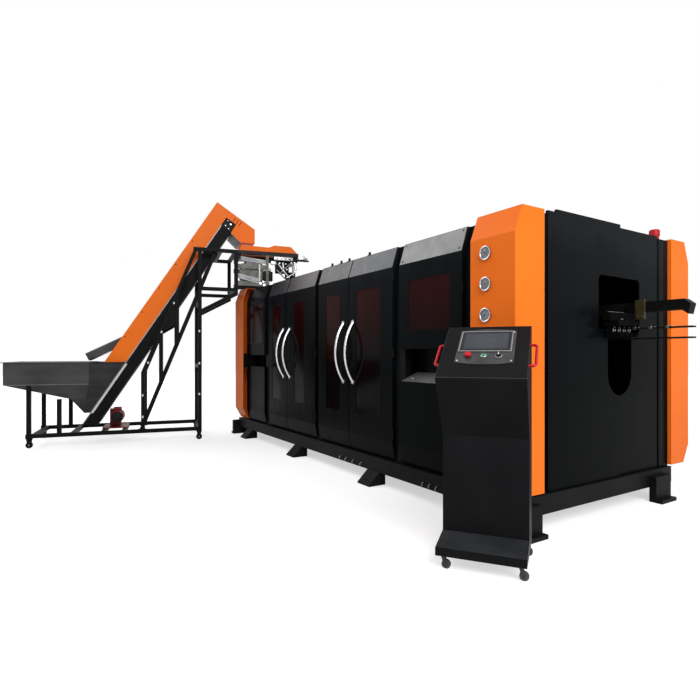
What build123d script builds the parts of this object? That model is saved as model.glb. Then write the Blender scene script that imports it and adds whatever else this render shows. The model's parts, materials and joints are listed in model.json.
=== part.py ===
from build123d import *
import os
from math import atan2, cos, radians, sin, tan

# Linear blow moulding machine with its preform elevator and its operator console.
# Lengths are in millimetres. +X runs towards the bottle outlet, +Y to the back, +Z up.
# The origin is on the floor, in the middle of the four corner anchor holes.

# Running clearance between faces that move or are screwed together
seat = 0.3
sheet = 3.0

# Widths along the front, from the preform end to the bottle end
left_column_width = 315.0
infeed_module_width = 650.0
infeed_gap = 156.0
oven_left_door_width = 549.0
oven_right_door_width = 731.0
oven_gap = 79.0
mould_left_door_width = 620.0
mould_right_door_width = 722.0
mould_gap = 100.0
outlet_module_width = 744.0
outlet_gap = 145.0
right_column_width = 389.0
front_widths = [left_column_width, infeed_module_width, infeed_gap, oven_left_door_width,
                oven_right_door_width, oven_gap, mould_left_door_width, mould_right_door_width,
                mould_gap, outlet_module_width, outlet_gap, right_column_width]
enclosure_length = sum(front_widths)
front_edges = [-enclosure_length / 2 + sum(front_widths[:count]) for count in range(len(front_widths) + 1)]
(left_end, infeed_x0, infeed_x1, oven_x0, oven_split, oven_x1, mould_x0, mould_split, mould_x1,
 outlet_x0, outlet_x1, right_column_x0, right_end) = front_edges

# Depth and heights of the enclosure
enclosure_front = -900.0
enclosure_back = 1340.0
column_side_width = 290.0
column_top = 2155.0
column_bottom = 257.0
column_top_chamfer = (70.0, 180.0)
column_foot_chamfer = (85.0, 150.0)
column_proud = 60.0
end_proud = 25.0
end_thickness = 20.0
door_front = enclosure_front + column_proud
door_depth = 40.0
door_bottom = 262.0
facet_bottom = 1944.0
facet_back = 60.0
roof_top = 2130.0
roof_depth = 25.0
facet_lip = 25.0
door_foot_chamfer = (28.0, 150.0)
door_gap = 10.0

# Base frame and feet
base_top = 245.0
base_bottom = 115.0
beam_width = 60.0
base_front = -845.0
base_back = 1050.0
base_end = enclosure_length / 2
foot_width = 190.0
foot_reach = 110.0
foot_thickness = 12.0
foot_neck = 70.0
anchor_reach = 75.0
anchor_radius = 9.0
front_foot_xs = [-2145.0, -605.0, 935.0]
cross_x = 900.0
end_foot_y = 815.0
end_foot_width = 225.0
end_foot_block = 56.0
end_foot_reach = 100.0
end_foot_toe = 28.0
end_foot_drop = 40.0
end_anchor_reach = 78.0

# Bottle outlet in the end wall
end_panel_top = 2185.0
end_groove_width = 70.0
end_strip_width = 96.0
end_panel_width = 778.0
side_panel_width = 567.0
panel_seam = 3.0
outlet_y0 = 48.0
outlet_y1 = 627.0
outlet_bottom = 1350.0
outlet_top = 1778.0
outlet_corner = 40.0
outlet_slot_width = 343.0
outlet_slot_bottom = 867.0

# Windows and handles of the doors
pane = 5.0
window_lap = 18.0
window_top = 1800.0
window_bottom = 620.0
handle_low = 915.0
handle_high = 1500.0
handle_bow = 95.0
handle_radius = 14.0
handle_flange = 22.0
handle_inset = 85.0

# Outlet module: door over a recess with a sloped sill
outlet_door_bottom = 1230.0
sill_front_z = 957.0
sill_back_z = 1031.0
recess_depth = 170.0
outlet_window_margins = (116.0, 126.0)
outlet_window_zs = (1380.0, 1800.0)
outlet_window_radius = 45.0
infeed_cover_bottom = 1180.0
infeed_recess_bottom = 1020.0

# Gauges on the right front column
gauge_inset = 145.0
gauge_zs = [1451.0, 1661.0, 1871.0]
gauge_radius = 48.0
gauge_proud = 14.0
gauge_rim = 9.0
gauge_recess = 6.0

# Warning beacon on the roof
beacon_inset = 75.0
beacon_y = 978.0
beacon_radius = 42.0
beacon_base = 60.0
beacon_dome = 54.0
beacon_crown = 14.0

# Bottle take-out beam, rails and carriage
beam_y = 450.0
beam_thickness = 80.0
beam_z0 = 1506.0
beam_z1 = 1582.0
beam_x0 = right_end - 1100.0
beam_x1 = right_end + 390.0
beam_post_width = 80.0
nose_reach = 45.0
nose_drop = 110.0
nose_fall = 36.0
nose_thickness = 18.0
rail_x0 = beam_x0 + 90.0
rail_x1 = right_end + 440.0
rail_zs = [1312.0, 1389.0]
rail_size = 12.0
rail_neck_gap = 28.0
strap_width = 40.0
strap_thickness = 6.0
strap_span = 800.0
carriage_x = right_end - 10.0
carriage_width = 60.0
carriage_y = 70.0
jaw_count = 4
jaw_pitch = 66.0
jaw_y = 100.0
jaw_width = 42.0
jaw_z = 1310.0
jaw_height = 85.0
finger_width = 10.0
finger_length = 60.0
finger_height = 25.0

# Mould clamp behind the mould doors
clamp_x = (mould_x0 + mould_x1) / 2
clamp_front = -520.0
clamp_back = 620.0
platen_width = 760.0
platen_height = 1050.0
platen_z = 1000.0
platen_thickness = 70.0
tie_bar_radius = 32.0
tie_bar_x = platen_width / 2 - 80.0
tie_bar_z = platen_height / 2 - 105.0
tie_clearance = 0.08
mould_width = 460.0
mould_height = 380.0
mould_depth = 120.0
moving_platen_y = clamp_back - 2 * mould_depth - platen_thickness - seat

# Elevator: preform hopper, inclined casing and tower on one wheeled frame
elevator_yaw = 12.33
elevator_x = -2817.0
elevator_y = -3565.0
elevator_width = 900.0
tube = 50.0
rail_z = 125.0
casing_inset = 200.0
casing_slope = 57.3
casing_depth = 165.0
cover_depth = 224.0
cover_overrun = 110.0
casing_foot_s = 450.0
casing_bottom_z = 235.0
casing_end_z = 3101.0
cover_bottom_z = 1120.0
head_end_s = 2912.0
head_end_z = 3047.0
head_bottom_z = 2840.0
head_back_s = 2700.0
hopper_s0 = -240.0
hopper_rim_z = 1085.0
hopper_box_z = 800.0
hopper_neck_s = 720.0
hopper_knee = (498.0, 604.0)
hopper_tip = (640.0, 404.0)
hopper_sheet = 4.0
rim_width = 22.0
tower_s = 2090.0
tower_top = 2690.0
tower_tie_zs = [1000.0, 1900.0]
arm_s = 2640.0
arm_low_z = 2090.0
diagonal_z = 1800.0
knee_s = 1350.0
knee_z = 943.0
chord_head_s = 2028.0
link_z = 1450.0
hanger_pitch = 212.0
hanger_feet = [780.0, 1320.0]
gusset_thickness = 6.0
gusset_zs = (1500.0, 1600.0)
brace_foot_s = 1357.0
brace_head_s = 2328.0
leg_places = [(10.0, 717.0), (350.0, 612.0)]
chute_w0 = -600.0
chute_w1 = -300.0
chute_low = (683.0, 1105.0)
chute_slope = 27.2
chute_depth = 100.0
motor_s = 1035.0
motor_z = 335.0
sorter_s1 = 3530.0
sorter_width = 550.0
roller_radius = 34.0
roller_shaft_radius = 10.0
shaft_clearance = 0.06
roller_pitch = 78.0
roller_z = 2615.0
hood_step_s = sorter_s1 - 440.0
drive_s1 = arm_s + 445.0
drive_zs = [roof_top + 55.0, tower_top - 260.0]
drive_height = 66.0
drive_depth = 40.0
drive_lug = 12.0

# Elevator casters, welded in as one with the frame
elevator_wheel_radius = 40.0
elevator_wheel_width = 28.0
caster_plate = 36.0
caster_plate_thickness = 8.0
caster_ss = [40.0, tower_s + tube - caster_plate]

# Console: sloped desk on a pedestal with a wheeled shoe
console_yaw = 35.27
console_x = 2859.0
console_y = -1493.0
console_width = 480.0
console_sheet = 3.0
shoe_bottom = 78.0
shoe_front_height = 44.0
shoe_top = 158.0
pedestal_front = 200.0
pedestal_knee = 715.0
console_back = 440.0
desk_front_z = 1045.0
desk_front_height = 14.0
desk_back = 392.0
desk_top_z = 1350.0
plate_x0 = -156.0
plate_x1 = 164.0
plate_low = 131.0
plate_high = 436.0
plate_bulge = 18.0
plate_thickness = 4.0
screen_x0 = -144.0
screen_x1 = 144.0
screen_low = 232.0
screen_high = 424.0
screen_thickness = 5.0
control_t = 188.0
stop_w = -86.0
start_w = 1.0
selector_w = 82.0
control_radius = 8.0
control_clearance = 0.06
control_reach = 20.0
stop_travel = 6.0
start_travel = 4.0
console_handle_low = 158.0
console_handle_high = 350.0
console_handle_depth = 40.0
console_handle_reach = 36.0
console_handle_radius = 8.0

# Swivel casters of the console
wheel_radius = 25.0
wheel_width = 20.0
axle_radius = 4.0
axle_clearance = 0.06
caster_trail = 18.0
caster_stem_radius = 6.0
caster_w = 205.0
caster_bs = [42.0, 405.0]
crown_thickness = 10.0
cheek_gap = 2.0
cheek_thickness = 3.0
pad_size = 62.0
pad_thickness = 6.0


def block(x, y, z):
    """Adds a box between pairs of low and high coordinates."""
    with Locations(((x[0] + x[1]) / 2, (y[0] + y[1]) / 2, (z[0] + z[1]) / 2)):
        Box(x[1] - x[0], y[1] - y[0], z[1] - z[0])


def outline(points):
    """Adds the face of a closed straight-sided outline."""
    Polygon(*points, align=None)


def finish(builder, name):
    """Labels a finished piece and writes its file."""
    piece = builder.part
    piece.label = name
    export_step(piece, f"parts/{name}.step")


os.makedirs("parts", exist_ok=True)


# Base frame: welded beams and flared anchor feet

def foot(origin, outward, profile, width, hole_reach):
    """Adds a foot of a side profile, drilled for a floor anchor, that reaches outward from a beam."""
    side = Plane(origin=origin, x_dir=outward, z_dir=Vector(*outward).cross(Vector(0, 0, 1)))
    with BuildSketch(side.offset(-width / 2)) as section:
        outline(profile)
    extrude(section.sketch, amount=width)
    hole_plane = Plane(origin=Vector(*origin) + Vector(*outward) * hole_reach, z_dir=(0, 0, 1))
    with BuildSketch(hole_plane) as hole:
        Circle(anchor_radius)
    extrude(hole.sketch, amount=base_bottom, mode=Mode.SUBTRACT)


flared_profile = [(-foot_neck, 0), (foot_reach, 0), (foot_reach, foot_thickness), (0, base_bottom - seat),
                  (-foot_neck, base_bottom - seat)]
end_foot_top = base_top - end_foot_drop
block_profile = [(seat, 0), (end_foot_reach, 0), (end_foot_reach, end_foot_toe),
                 (end_foot_block, end_foot_toe), (end_foot_block, end_foot_top), (seat, end_foot_top)]


with BuildPart() as base_frame:
    block((-base_end, base_end), (base_front, base_front + beam_width), (base_bottom, base_top))
    block((-base_end, base_end), (base_back - beam_width, base_back), (base_bottom, base_top))
    for beam_x in (-base_end + beam_width / 2, -cross_x, cross_x, beam_x0 + beam_post_width / 2,
                   base_end - beam_width / 2):
        block((beam_x - beam_width / 2, beam_x + beam_width / 2),
              (base_front + beam_width + seat, base_back - beam_width - seat), (base_bottom, base_top))
    for foot_x in front_foot_xs:
        foot((foot_x, base_front, 0), (0, -1, 0), flared_profile, foot_width, anchor_reach)
        foot((foot_x, base_back, 0), (0, 1, 0), flared_profile, foot_width, anchor_reach)
    for foot_y in (-end_foot_y, end_foot_y):
        foot((base_end, foot_y, 0), (1, 0, 0), block_profile, end_foot_width, end_anchor_reach)
        foot((-base_end, foot_y, 0), (-1, 0, 0), block_profile, end_foot_width, end_anchor_reach)
finish(base_frame, "base_frame")


# Enclosure frame: posts behind the gaps, roof rails and the rear overhang

post_front = door_front + door_depth + seat
post_depth = 70.0
post_lap = 28.0
post_knee_z = facet_bottom - 40
rail_height = 50.0
frame_bottom = base_top + seat
frame_top = roof_top - roof_depth - seat


def front_post(x0, x1):
    """Adds an upright post and the slanted piece over it that follows the facet of the doors."""
    post_back = post_front + post_depth
    slant_front = door_front + facet_back + facet_lip + seat
    block((x0, x1), (post_front, post_back), (frame_bottom, post_knee_z - seat))
    with BuildSketch(Plane.YZ.offset(x0)) as slant:
        outline([(post_front, post_knee_z), (slant_front, frame_top), (front_rail_y - seat, frame_top),
                 (post_back, post_knee_z)])
    extrude(slant.sketch, amount=x1 - x0)


overhang_root = 200.0
rear_rail_y = enclosure_back - end_thickness - seat - post_depth
front_rail_y = enclosure_front + column_side_width + seat
frame_x0 = infeed_x0 + seat
frame_x1 = right_column_x0 - seat
post_pairs = [(infeed_x1 - post_lap, oven_x0 + post_lap), (oven_x1 - post_lap, mould_x0 + post_lap),
              (mould_x1 - post_lap, outlet_x0 + post_lap), (outlet_x1 - post_lap, right_column_x0 - seat)]
with BuildPart() as enclosure_frame:
    for pair in post_pairs:
        front_post(*pair)
    front_post(infeed_x0 + seat, infeed_x0 + post_depth)
    for rail_y in (front_rail_y, rear_rail_y):
        block((frame_x0, frame_x1), (rail_y, rail_y + post_depth), (frame_top - rail_height, frame_top))
    for post_x in (frame_x0, -cross_x - post_depth / 2, cross_x - post_depth / 2, frame_x1 - post_depth):
        block((post_x, post_x + post_depth), (rear_rail_y, rear_rail_y + post_depth),
              (frame_bottom, frame_top - rail_height - seat))
        block((post_x, post_x + post_depth), (base_back - overhang_root, rear_rail_y - seat),
              (frame_bottom, frame_bottom + rail_height))
        block((post_x, post_x + post_depth), (front_rail_y + post_depth + seat, rear_rail_y - seat),
              (frame_top - rail_height, frame_top))
finish(enclosure_frame, "enclosure_frame")


# Corner columns: folded covers with a chamfer at the head and at the foot

def column(x0, x1, closed_end, at_back):
    """Makes a column cover, open towards the middle of the machine."""
    face = enclosure_back if at_back else enclosure_front
    inward = -1 if at_back else 1
    top_back, top_high = column_top_chamfer
    foot_back, foot_high = column_foot_chamfer
    inner = face + inward * column_side_width
    corners = [(face + inward * foot_back, column_bottom), (face, column_bottom + foot_high),
               (face, column_top - top_high), (face + inward * top_back, column_top),
               (inner, column_top), (inner, column_bottom)]
    with BuildPart() as cover:
        with BuildSketch(Plane.YZ.offset(x0)):
            outline(corners)
        extrude(amount=x1 - x0)
        opening = cover.faces().sort_by(Axis.X)[0 if closed_end > 0 else -1]
        offset(amount=-sheet, openings=opening)
    return cover


column_front_right = column(right_column_x0, right_end, 1, False)
finish(column_front_right, "column_front_right")
column_front_left = column(left_end, infeed_x0, -1, False)
finish(column_front_left, "column_front_left")
with BuildPart() as rear_columns:
    add(column(right_column_x0, right_end, 1, True).part)
    add(column(left_end, infeed_x0, -1, True).part)
finish(rear_columns, "rear_columns")


# Roof: one tray with notches for the corner columns, and studs along the front

roof_front = door_front + facet_back + facet_lip + seat
roof_back = enclosure_back - end_thickness - seat
roof_end = enclosure_length / 2 - end_proud - end_thickness - seat
roof_stud_xs = [-400.0, 60.0, 760.0, 1900.0]
with BuildPart() as roof_panel:
    with BuildSketch(Plane.XY.offset(roof_top - roof_depth)):
        with Locations((0, (roof_front + roof_back) / 2)):
            Rectangle(2 * roof_end, roof_back - roof_front)
        for x0, x1 in ((left_end, infeed_x0), (right_column_x0, right_end)):
            for y0, y1 in ((enclosure_front, enclosure_front + column_side_width),
                           (enclosure_back - column_side_width, enclosure_back)):
                with Locations(((x0 + x1) / 2, (y0 + y1) / 2)):
                    Rectangle(x1 - x0 + 2 * seat, y1 - y0 + 2 * seat, mode=Mode.SUBTRACT)
    extrude(amount=roof_depth)
    for stud_x in roof_stud_xs:
        with Locations((stud_x, roof_front + 60, roof_top + seat)):
            Cylinder(16, 14, align=(Align.CENTER, Align.CENTER, Align.MIN))
finish(roof_panel, "roof_panel")


# End wall at the bottle outlet: panels around the outlet opening

def outlet_cut():
    """Cuts the outlet: a rounded rectangle over a slot with a round end."""
    slot_radius = outlet_slot_width / 2
    middle = (outlet_y0 + outlet_y1) / 2
    with Locations((middle, (outlet_bottom + outlet_top) / 2)):
        RectangleRounded(outlet_y1 - outlet_y0, outlet_top - outlet_bottom, outlet_corner, mode=Mode.SUBTRACT)
    slot_low = outlet_slot_bottom + slot_radius
    slot_high = outlet_bottom + outlet_corner
    with Locations((middle, (slot_low + slot_high) / 2)):
        Rectangle(outlet_slot_width, slot_high - slot_low, mode=Mode.SUBTRACT)
    with Locations((middle, slot_low)):
        Circle(slot_radius, mode=Mode.SUBTRACT)


end_face = enclosure_length / 2 - end_proud
groove_y0 = enclosure_front + column_side_width + seat
strip_y0 = groove_y0 + end_groove_width
end_y0 = strip_y0 + end_strip_width
end_y1 = end_y0 + end_panel_width
side_y0 = end_y1 + panel_seam
side_y1 = side_y0 + side_panel_width
rear_strip_y1 = enclosure_back - column_side_width - seat


def end_sheet(y0, y1, top, face, thickness):
    """Adds an end panel, cut out where the outlet crosses it."""
    with BuildSketch(Plane.YZ.offset(face - thickness)) as face_sheet:
        with Locations(((y0 + y1) / 2, (frame_bottom + top) / 2)):
            Rectangle(y1 - y0, top - frame_bottom)
        outlet_cut()
    extrude(face_sheet.sketch, amount=thickness)


with BuildPart() as outlet_end_panels:
    for y0, y1, drop, recess in ((groove_y0, strip_y0 - seat, 40, 15), (strip_y0, end_y0 - seat, 20, 0),
                                 (end_y0, end_y1, 0, 0), (side_y0, side_y1, 20, 12),
                                 (side_y1 + panel_seam, rear_strip_y1, 40, 5)):
        end_sheet(y0, y1, end_panel_top - drop, end_face - recess, end_thickness - recess)
finish(outlet_end_panels, "outlet_end_panels")

with BuildPart() as infeed_end_panel:
    panel_count = 3
    run = rear_strip_y1 - groove_y0
    for index in range(panel_count):
        y0 = groove_y0 + index * run / panel_count
        block((-end_face, -end_face + end_thickness), (y0, y0 + run / panel_count - panel_seam),
              (frame_bottom, end_panel_top))
finish(infeed_end_panel, "infeed_end_panel")

with BuildPart() as rear_panels:
    panel_count = 5
    x0 = infeed_x0 + seat
    run = right_column_x0 - seat - x0
    for index in range(panel_count):
        low = x0 + index * run / panel_count
        block((low, low + run / panel_count - panel_seam), (enclosure_back - end_thickness, enclosure_back),
              (frame_bottom, roof_top))
finish(rear_panels, "rear_panels")


# Doors and covers: folded pans that follow the facet

def pan_profile(bottom, top, back):
    """Gives the side outline of a pan, with its skin or its flanges reaching back."""
    inner = door_front + back
    foot_back, foot_high = door_foot_chamfer
    low = [(inner, bottom), (door_front, bottom)]
    if bottom == door_bottom:
        foot_inner = max(inner, door_front + foot_back + sheet)
        low = [(inner, bottom + foot_high), (foot_inner, bottom), (door_front + foot_back, bottom),
               (door_front, bottom + foot_high)]
    if top <= facet_bottom:
        return low + [(door_front, top), (inner, top)]
    front_top = door_front + facet_back
    lip = back * facet_lip / door_depth
    knee = facet_bottom - back * facet_back / (roof_top - facet_bottom) / 2
    return low + [(door_front, facet_bottom), (front_top, top), (front_top + lip, top), (inner, knee)]


def pan(x0, x1, bottom, top, windows=()):
    """Makes a folded pan with window cut-outs given as x0, x1, z0, z1 and corner radius."""
    with BuildPart() as door:
        with BuildSketch(Plane.YZ.offset(x0)):
            outline(pan_profile(bottom, top, sheet))
        extrude(amount=x1 - x0)
        for flange_x in (x0, x1 - sheet):
            with BuildSketch(Plane.YZ.offset(flange_x)):
                outline(pan_profile(bottom, top, door_depth))
            extrude(amount=sheet)
        bottom_front = door_front + (door_foot_chamfer[0] if bottom == door_bottom else 0)
        block((x0, x1), (bottom_front, door_front + door_depth), (bottom, bottom + sheet))
        top_front = door_front + (facet_back if top > facet_bottom else 0)
        top_depth = facet_lip if top > facet_bottom else door_depth
        block((x0, x1), (top_front, top_front + top_depth), (top - sheet, top))
        for wx0, wx1, wz0, wz1, radius in windows:
            with BuildSketch(Plane.XZ.offset(-door_front)):
                with Locations(((wx0 + wx1) / 2, (wz0 + wz1) / 2)):
                    RectangleRounded(wx1 - wx0, wz1 - wz0, radius)
            extrude(amount=-sheet, mode=Mode.SUBTRACT)
    return door


def window_pane(wx0, wx1, wz0, wz1):
    """Makes the pane that closes a window from behind the skin."""
    with BuildPart() as glazing:
        block((wx0 - window_lap, wx1 + window_lap),
              (door_front + sheet, door_front + sheet + pane), (wz0 - window_lap, wz1 + window_lap))
    return glazing


def bow_handle(x):
    """Makes a bowed tube handle with round flanges, standing on the door skin."""
    with BuildPart() as handle:
        with BuildLine(Plane.YZ.offset(x)) as path:
            ThreePointArc((door_front, handle_low), (door_front - handle_bow, (handle_low + handle_high) / 2),
                          (door_front, handle_high))
        with BuildSketch(Plane(origin=path.line @ 0, z_dir=path.line % 0)):
            Circle(handle_radius)
        sweep()
        for z in (handle_low, handle_high):
            with BuildSketch(Plane.XZ.offset(-door_front)):
                with Locations((x, z)):
                    Circle(handle_flange)
            extrude(amount=10)
        split(bisect_by=Plane.XZ.offset(-door_front), keep=Keep.TOP)
    return handle


double_doors = {
    "oven_left": (oven_x0, oven_split - door_gap / 2, -1),
    "oven_right": (oven_split + door_gap / 2, oven_x1, 1),
    "mould_left": (mould_x0, mould_split - door_gap / 2, -1),
    "mould_right": (mould_split + door_gap / 2, mould_x1, 1),
}
window_spans = {
    "oven_left": (120.0, 370.0),
    "oven_right": (200.0, 450.0),
    "mould_left": (170.0, 450.0),
    "mould_right": (134.0, 534.0),
}
window_radius = 12.0
for door_name, (door_x0, door_x1, hinge_side) in double_doors.items():
    span = window_spans[door_name]
    window = (door_x0 + span[0], door_x0 + span[1], window_bottom, window_top)
    finish(pan(door_x0, door_x1, door_bottom, roof_top, [(*window, window_radius)]), f"{door_name}_door")
    finish(window_pane(*window), f"{door_name}_window")
    handle_x = door_x1 - handle_inset if hinge_side < 0 else door_x0 + handle_inset
    finish(bow_handle(handle_x), f"{door_name}_handle")

infeed_cover = pan(infeed_x0 + door_gap, infeed_x1, infeed_cover_bottom, roof_top)
finish(infeed_cover, "infeed_cover")
outlet_window = (outlet_x0 + outlet_window_margins[0], outlet_x1 - outlet_window_margins[1],
                 *outlet_window_zs)
outlet_door = pan(outlet_x0, outlet_x1, outlet_door_bottom, roof_top,
                  [(*outlet_window, outlet_window_radius)])
finish(outlet_door, "outlet_door")
finish(window_pane(*outlet_window), "outlet_window")

# Fixed front panels under the infeed cover and the outlet door, and the backs of the recesses
with BuildPart() as front_panels:
    add(pan(infeed_x0 + door_gap, infeed_x1, door_bottom, infeed_recess_bottom).part)
    add(pan(outlet_x0, outlet_x1, door_bottom, sill_front_z).part)
    recess_back = door_front + recess_depth
    infeed_recess = (infeed_x0 + post_depth + seat, infeed_x1 - post_lap - seat)
    outlet_recess = (outlet_x0 + post_lap + seat, outlet_x1 - post_lap - seat)
    for recess, low, high in ((infeed_recess, infeed_recess_bottom, infeed_cover_bottom),
                              (outlet_recess, sill_back_z, outlet_door_bottom)):
        block(recess, (recess_back, recess_back + sheet), (low, high))
    block(infeed_recess, (door_front + door_depth + seat, recess_back - seat),
          (infeed_recess_bottom - sheet, infeed_recess_bottom))
finish(front_panels, "front_panels")

with BuildPart() as sill_plate:
    with BuildSketch(Plane.YZ.offset(outlet_x0 + post_lap + seat)):
        outline([(door_front, sill_front_z + seat), (door_front + recess_depth - seat, sill_back_z),
                 (door_front + recess_depth - seat, sill_back_z - 10),
                 (door_front + 25, sill_front_z + seat)])
    extrude(amount=outlet_x1 - outlet_x0 - 2 * post_lap - 2 * seat)
finish(sill_plate, "sill_plate")


# Air gauges: chromed bezels with a domed face, screwed to the right front column

gauge_x = right_column_x0 + gauge_inset
with BuildPart() as air_gauges:
    for gauge_z in gauge_zs:
        back = Plane(origin=(gauge_x, enclosure_front, gauge_z), x_dir=(1, 0, 0), z_dir=(0, -1, 0))
        with BuildSketch(back):
            Circle(gauge_radius)
        extrude(amount=gauge_proud)
        with BuildSketch(back.offset(gauge_proud)):
            Circle(gauge_radius - gauge_rim)
        extrude(amount=-gauge_recess, mode=Mode.SUBTRACT)
finish(air_gauges, "air_gauges")

with BuildPart() as beacon:
    with Locations((end_face - beacon_inset, beacon_y, roof_top)):
        Cylinder(beacon_radius - 6, beacon_base, align=(Align.CENTER, Align.CENTER, Align.MIN))
    with Locations((end_face - beacon_inset, beacon_y, roof_top + beacon_base)):
        Cylinder(beacon_radius, beacon_dome, align=(Align.CENTER, Align.CENTER, Align.MIN))
    fillet(beacon.faces().sort_by(Axis.Z)[-1].edges(), beacon_crown)
finish(beacon, "beacon")


# Bottle take-out: beam with a bent nose, neck rails and a gripper carriage

with BuildPart() as outlet_beam:
    with BuildSketch(Plane.XZ.offset(-(beam_y + beam_thickness / 2))):
        outline([(beam_x0, beam_z0), (beam_x0, beam_z1), (beam_x1, beam_z1),
                 (beam_x1 + nose_reach, beam_z1 - nose_fall),
                 (beam_x1 + nose_reach - nose_thickness, beam_z1 - nose_drop),
                 (beam_x1 - nose_thickness, beam_z0)])
    extrude(amount=beam_thickness)
    block((beam_x0, beam_x0 + beam_post_width), (beam_y - beam_thickness / 2, beam_y + beam_thickness / 2),
          (frame_bottom, beam_z0 - seat))
finish(outlet_beam, "outlet_beam")

with BuildPart() as neck_rails:
    rail_ys = (beam_y - rail_neck_gap / 2 - rail_size, beam_y + rail_neck_gap / 2)
    for rail_top_z in rail_zs:
        for rail_y in rail_ys:
            block((rail_x0, rail_x1), (rail_y, rail_y + rail_size), (rail_top_z - rail_size, rail_top_z))
    for strap_x in (rail_x0 + 50, rail_x0 + 50 + strap_span):
        for strap_y in (rail_ys[0] - seat - strap_thickness, rail_ys[1] + rail_size + seat):
            block((strap_x, strap_x + strap_width), (strap_y, strap_y + strap_thickness),
                  (rail_zs[0] - rail_size, beam_z0 - seat))
finish(neck_rails, "neck_rails")

with BuildPart() as takeout_carriage:
    side_y = beam_y - beam_thickness / 2 - seat
    jaw_top = jaw_z + jaw_height
    arm_z = beam_z0 - 70
    block((carriage_x, carriage_x + carriage_width), (carriage_y, side_y), (arm_z, beam_z0 - 10))
    block((carriage_x, carriage_x + carriage_width), (side_y - 14, side_y),
          (beam_z0 - 10 + seat, beam_z1 - 10))
    block((carriage_x, carriage_x + 110), (carriage_y + 20, side_y - 50), (jaw_top + seat, arm_z - seat))
    for jaw in range(jaw_count):
        near_y = jaw_y + jaw * jaw_pitch
        block((carriage_x + 10, carriage_x + carriage_width), (near_y, near_y + jaw_width), (jaw_z, jaw_top))
        for finger_y in (near_y + 4, near_y + jaw_width - finger_width - 4):
            block((carriage_x + carriage_width + seat, carriage_x + carriage_width + finger_length),
                  (finger_y, finger_y + finger_width), (jaw_z + 5, jaw_z + 5 + finger_height))
finish(takeout_carriage, "takeout_carriage")


# Mould clamp: two fixed platens on tie bars, and the moving platen with its mould half

def tie_points():
    """Gives the four tie bar centres in the platen plane."""
    return [(clamp_x + sx * tie_bar_x, platen_z + sz * tie_bar_z) for sx in (-1, 1) for sz in (-1, 1)]


def platen(y, holes):
    """Adds a platen with the front face at y, bored for the tie bars if asked."""
    with BuildSketch(Plane.XZ.offset(-y)) as plate:
        with Locations((clamp_x, platen_z)):
            RectangleRounded(platen_width, platen_height, 30)
        if holes:
            with Locations(*tie_points()):
                Circle(tie_bar_radius + tie_clearance, mode=Mode.SUBTRACT)
    extrude(plate.sketch, amount=-platen_thickness)


with BuildPart() as clamp_frame:
    platen(clamp_front, False)
    platen(clamp_back, False)
    with BuildSketch(Plane.XZ.offset(-(clamp_front + platen_thickness + seat))):
        with Locations(*tie_points()):
            Circle(tie_bar_radius)
    extrude(amount=-(clamp_back - clamp_front - platen_thickness - 2 * seat))
    block((clamp_x - mould_width / 2, clamp_x + mould_width / 2),
          (clamp_back - mould_depth, clamp_back - seat),
          (platen_z - mould_height / 2, platen_z + mould_height / 2))
    for pad_y in (clamp_front, clamp_back):
        block((clamp_x - platen_width / 2, clamp_x + platen_width / 2), (pad_y, pad_y + platen_thickness),
              (frame_bottom, platen_z - platen_height / 2 - seat))
finish(clamp_frame, "clamp_frame")

with BuildPart() as moving_platen:
    platen(moving_platen_y, True)
    block((clamp_x - mould_width / 2, clamp_x + mould_width / 2),
          (moving_platen_y + platen_thickness, moving_platen_y + platen_thickness + mould_depth),
          (platen_z - mould_height / 2, platen_z + mould_height / 2))
finish(moving_platen, "moving_platen")


# Elevator, drawn in its own side view: s along the base, z up, and w across, with 0 at the near side

along = Vector(sin(radians(elevator_yaw)), cos(radians(elevator_yaw)), 0)
outward = Vector(cos(radians(elevator_yaw)), -sin(radians(elevator_yaw)), 0)
elevator_origin = Vector(elevator_x, elevator_y, 0)


def side_plane(w):
    """Gives the side view plane at a place across the elevator."""
    return Plane(origin=elevator_origin + outward * w, x_dir=along, z_dir=outward)


def plan_plane(z):
    """Gives the plan view plane at a height, with x along s and y towards the far side."""
    return Plane(origin=elevator_origin + Vector(0, 0, z), x_dir=along, z_dir=(0, 0, 1))


def slab(points, w0, w1, mode=Mode.ADD):
    """Adds an outline of the side view, filled between two places across."""
    with BuildSketch(side_plane(w0)) as profile:
        outline(points)
    extrude(profile.sketch, amount=w1 - w0, mode=mode)


def bar(s0, s1, z0, z1, w0, w1):
    """Adds a straight tube along one of the elevator's own axes."""
    slab([(s0, z0), (s1, z0), (s1, z1), (s0, z1)], w0, w1)


def strut(start, end, width, w0, w1):
    """Adds a slanted tube whose ends are cut level."""
    half = width / 2 / sin(atan2(end[1] - start[1], end[0] - start[0]))
    slab([(start[0] - half, start[1]), (start[0] + half, start[1]), (end[0] + half, end[1]),
          (end[0] - half, end[1])], w0, w1)


def cross_rod(s, z, radius, w0, w1, mode=Mode.ADD):
    """Adds a round piece across the elevator."""
    with BuildSketch(side_plane(w0)) as section:
        with Locations((s, z)):
            Circle(radius)
    extrude(section.sketch, amount=w1 - w0, mode=mode)


def end_plane(s):
    """Gives a plane across the elevator at s, with x across and y up."""
    return Plane(origin=elevator_origin + along * s, x_dir=outward * -1, z_dir=along)


def long_rod(s0, s1, w, z, radius, mode=Mode.ADD):
    """Adds a round piece along the sorter."""
    with BuildSketch(end_plane(s0)) as section:
        with Locations((-w, z)):
            Circle(radius)
    extrude(section.sketch, amount=s1 - s0, mode=mode)


slope = radians(casing_slope)
rise = tan(slope)


def upper_s(z, height=0.0):
    """Gives where a line over the casing's upper face lies at a height above the floor."""
    return casing_foot_s + z / rise - height / sin(slope)


def underside_s(z):
    """Gives where the underside of the casing lies at a height above the floor."""
    return upper_s(z, -casing_depth)


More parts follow.
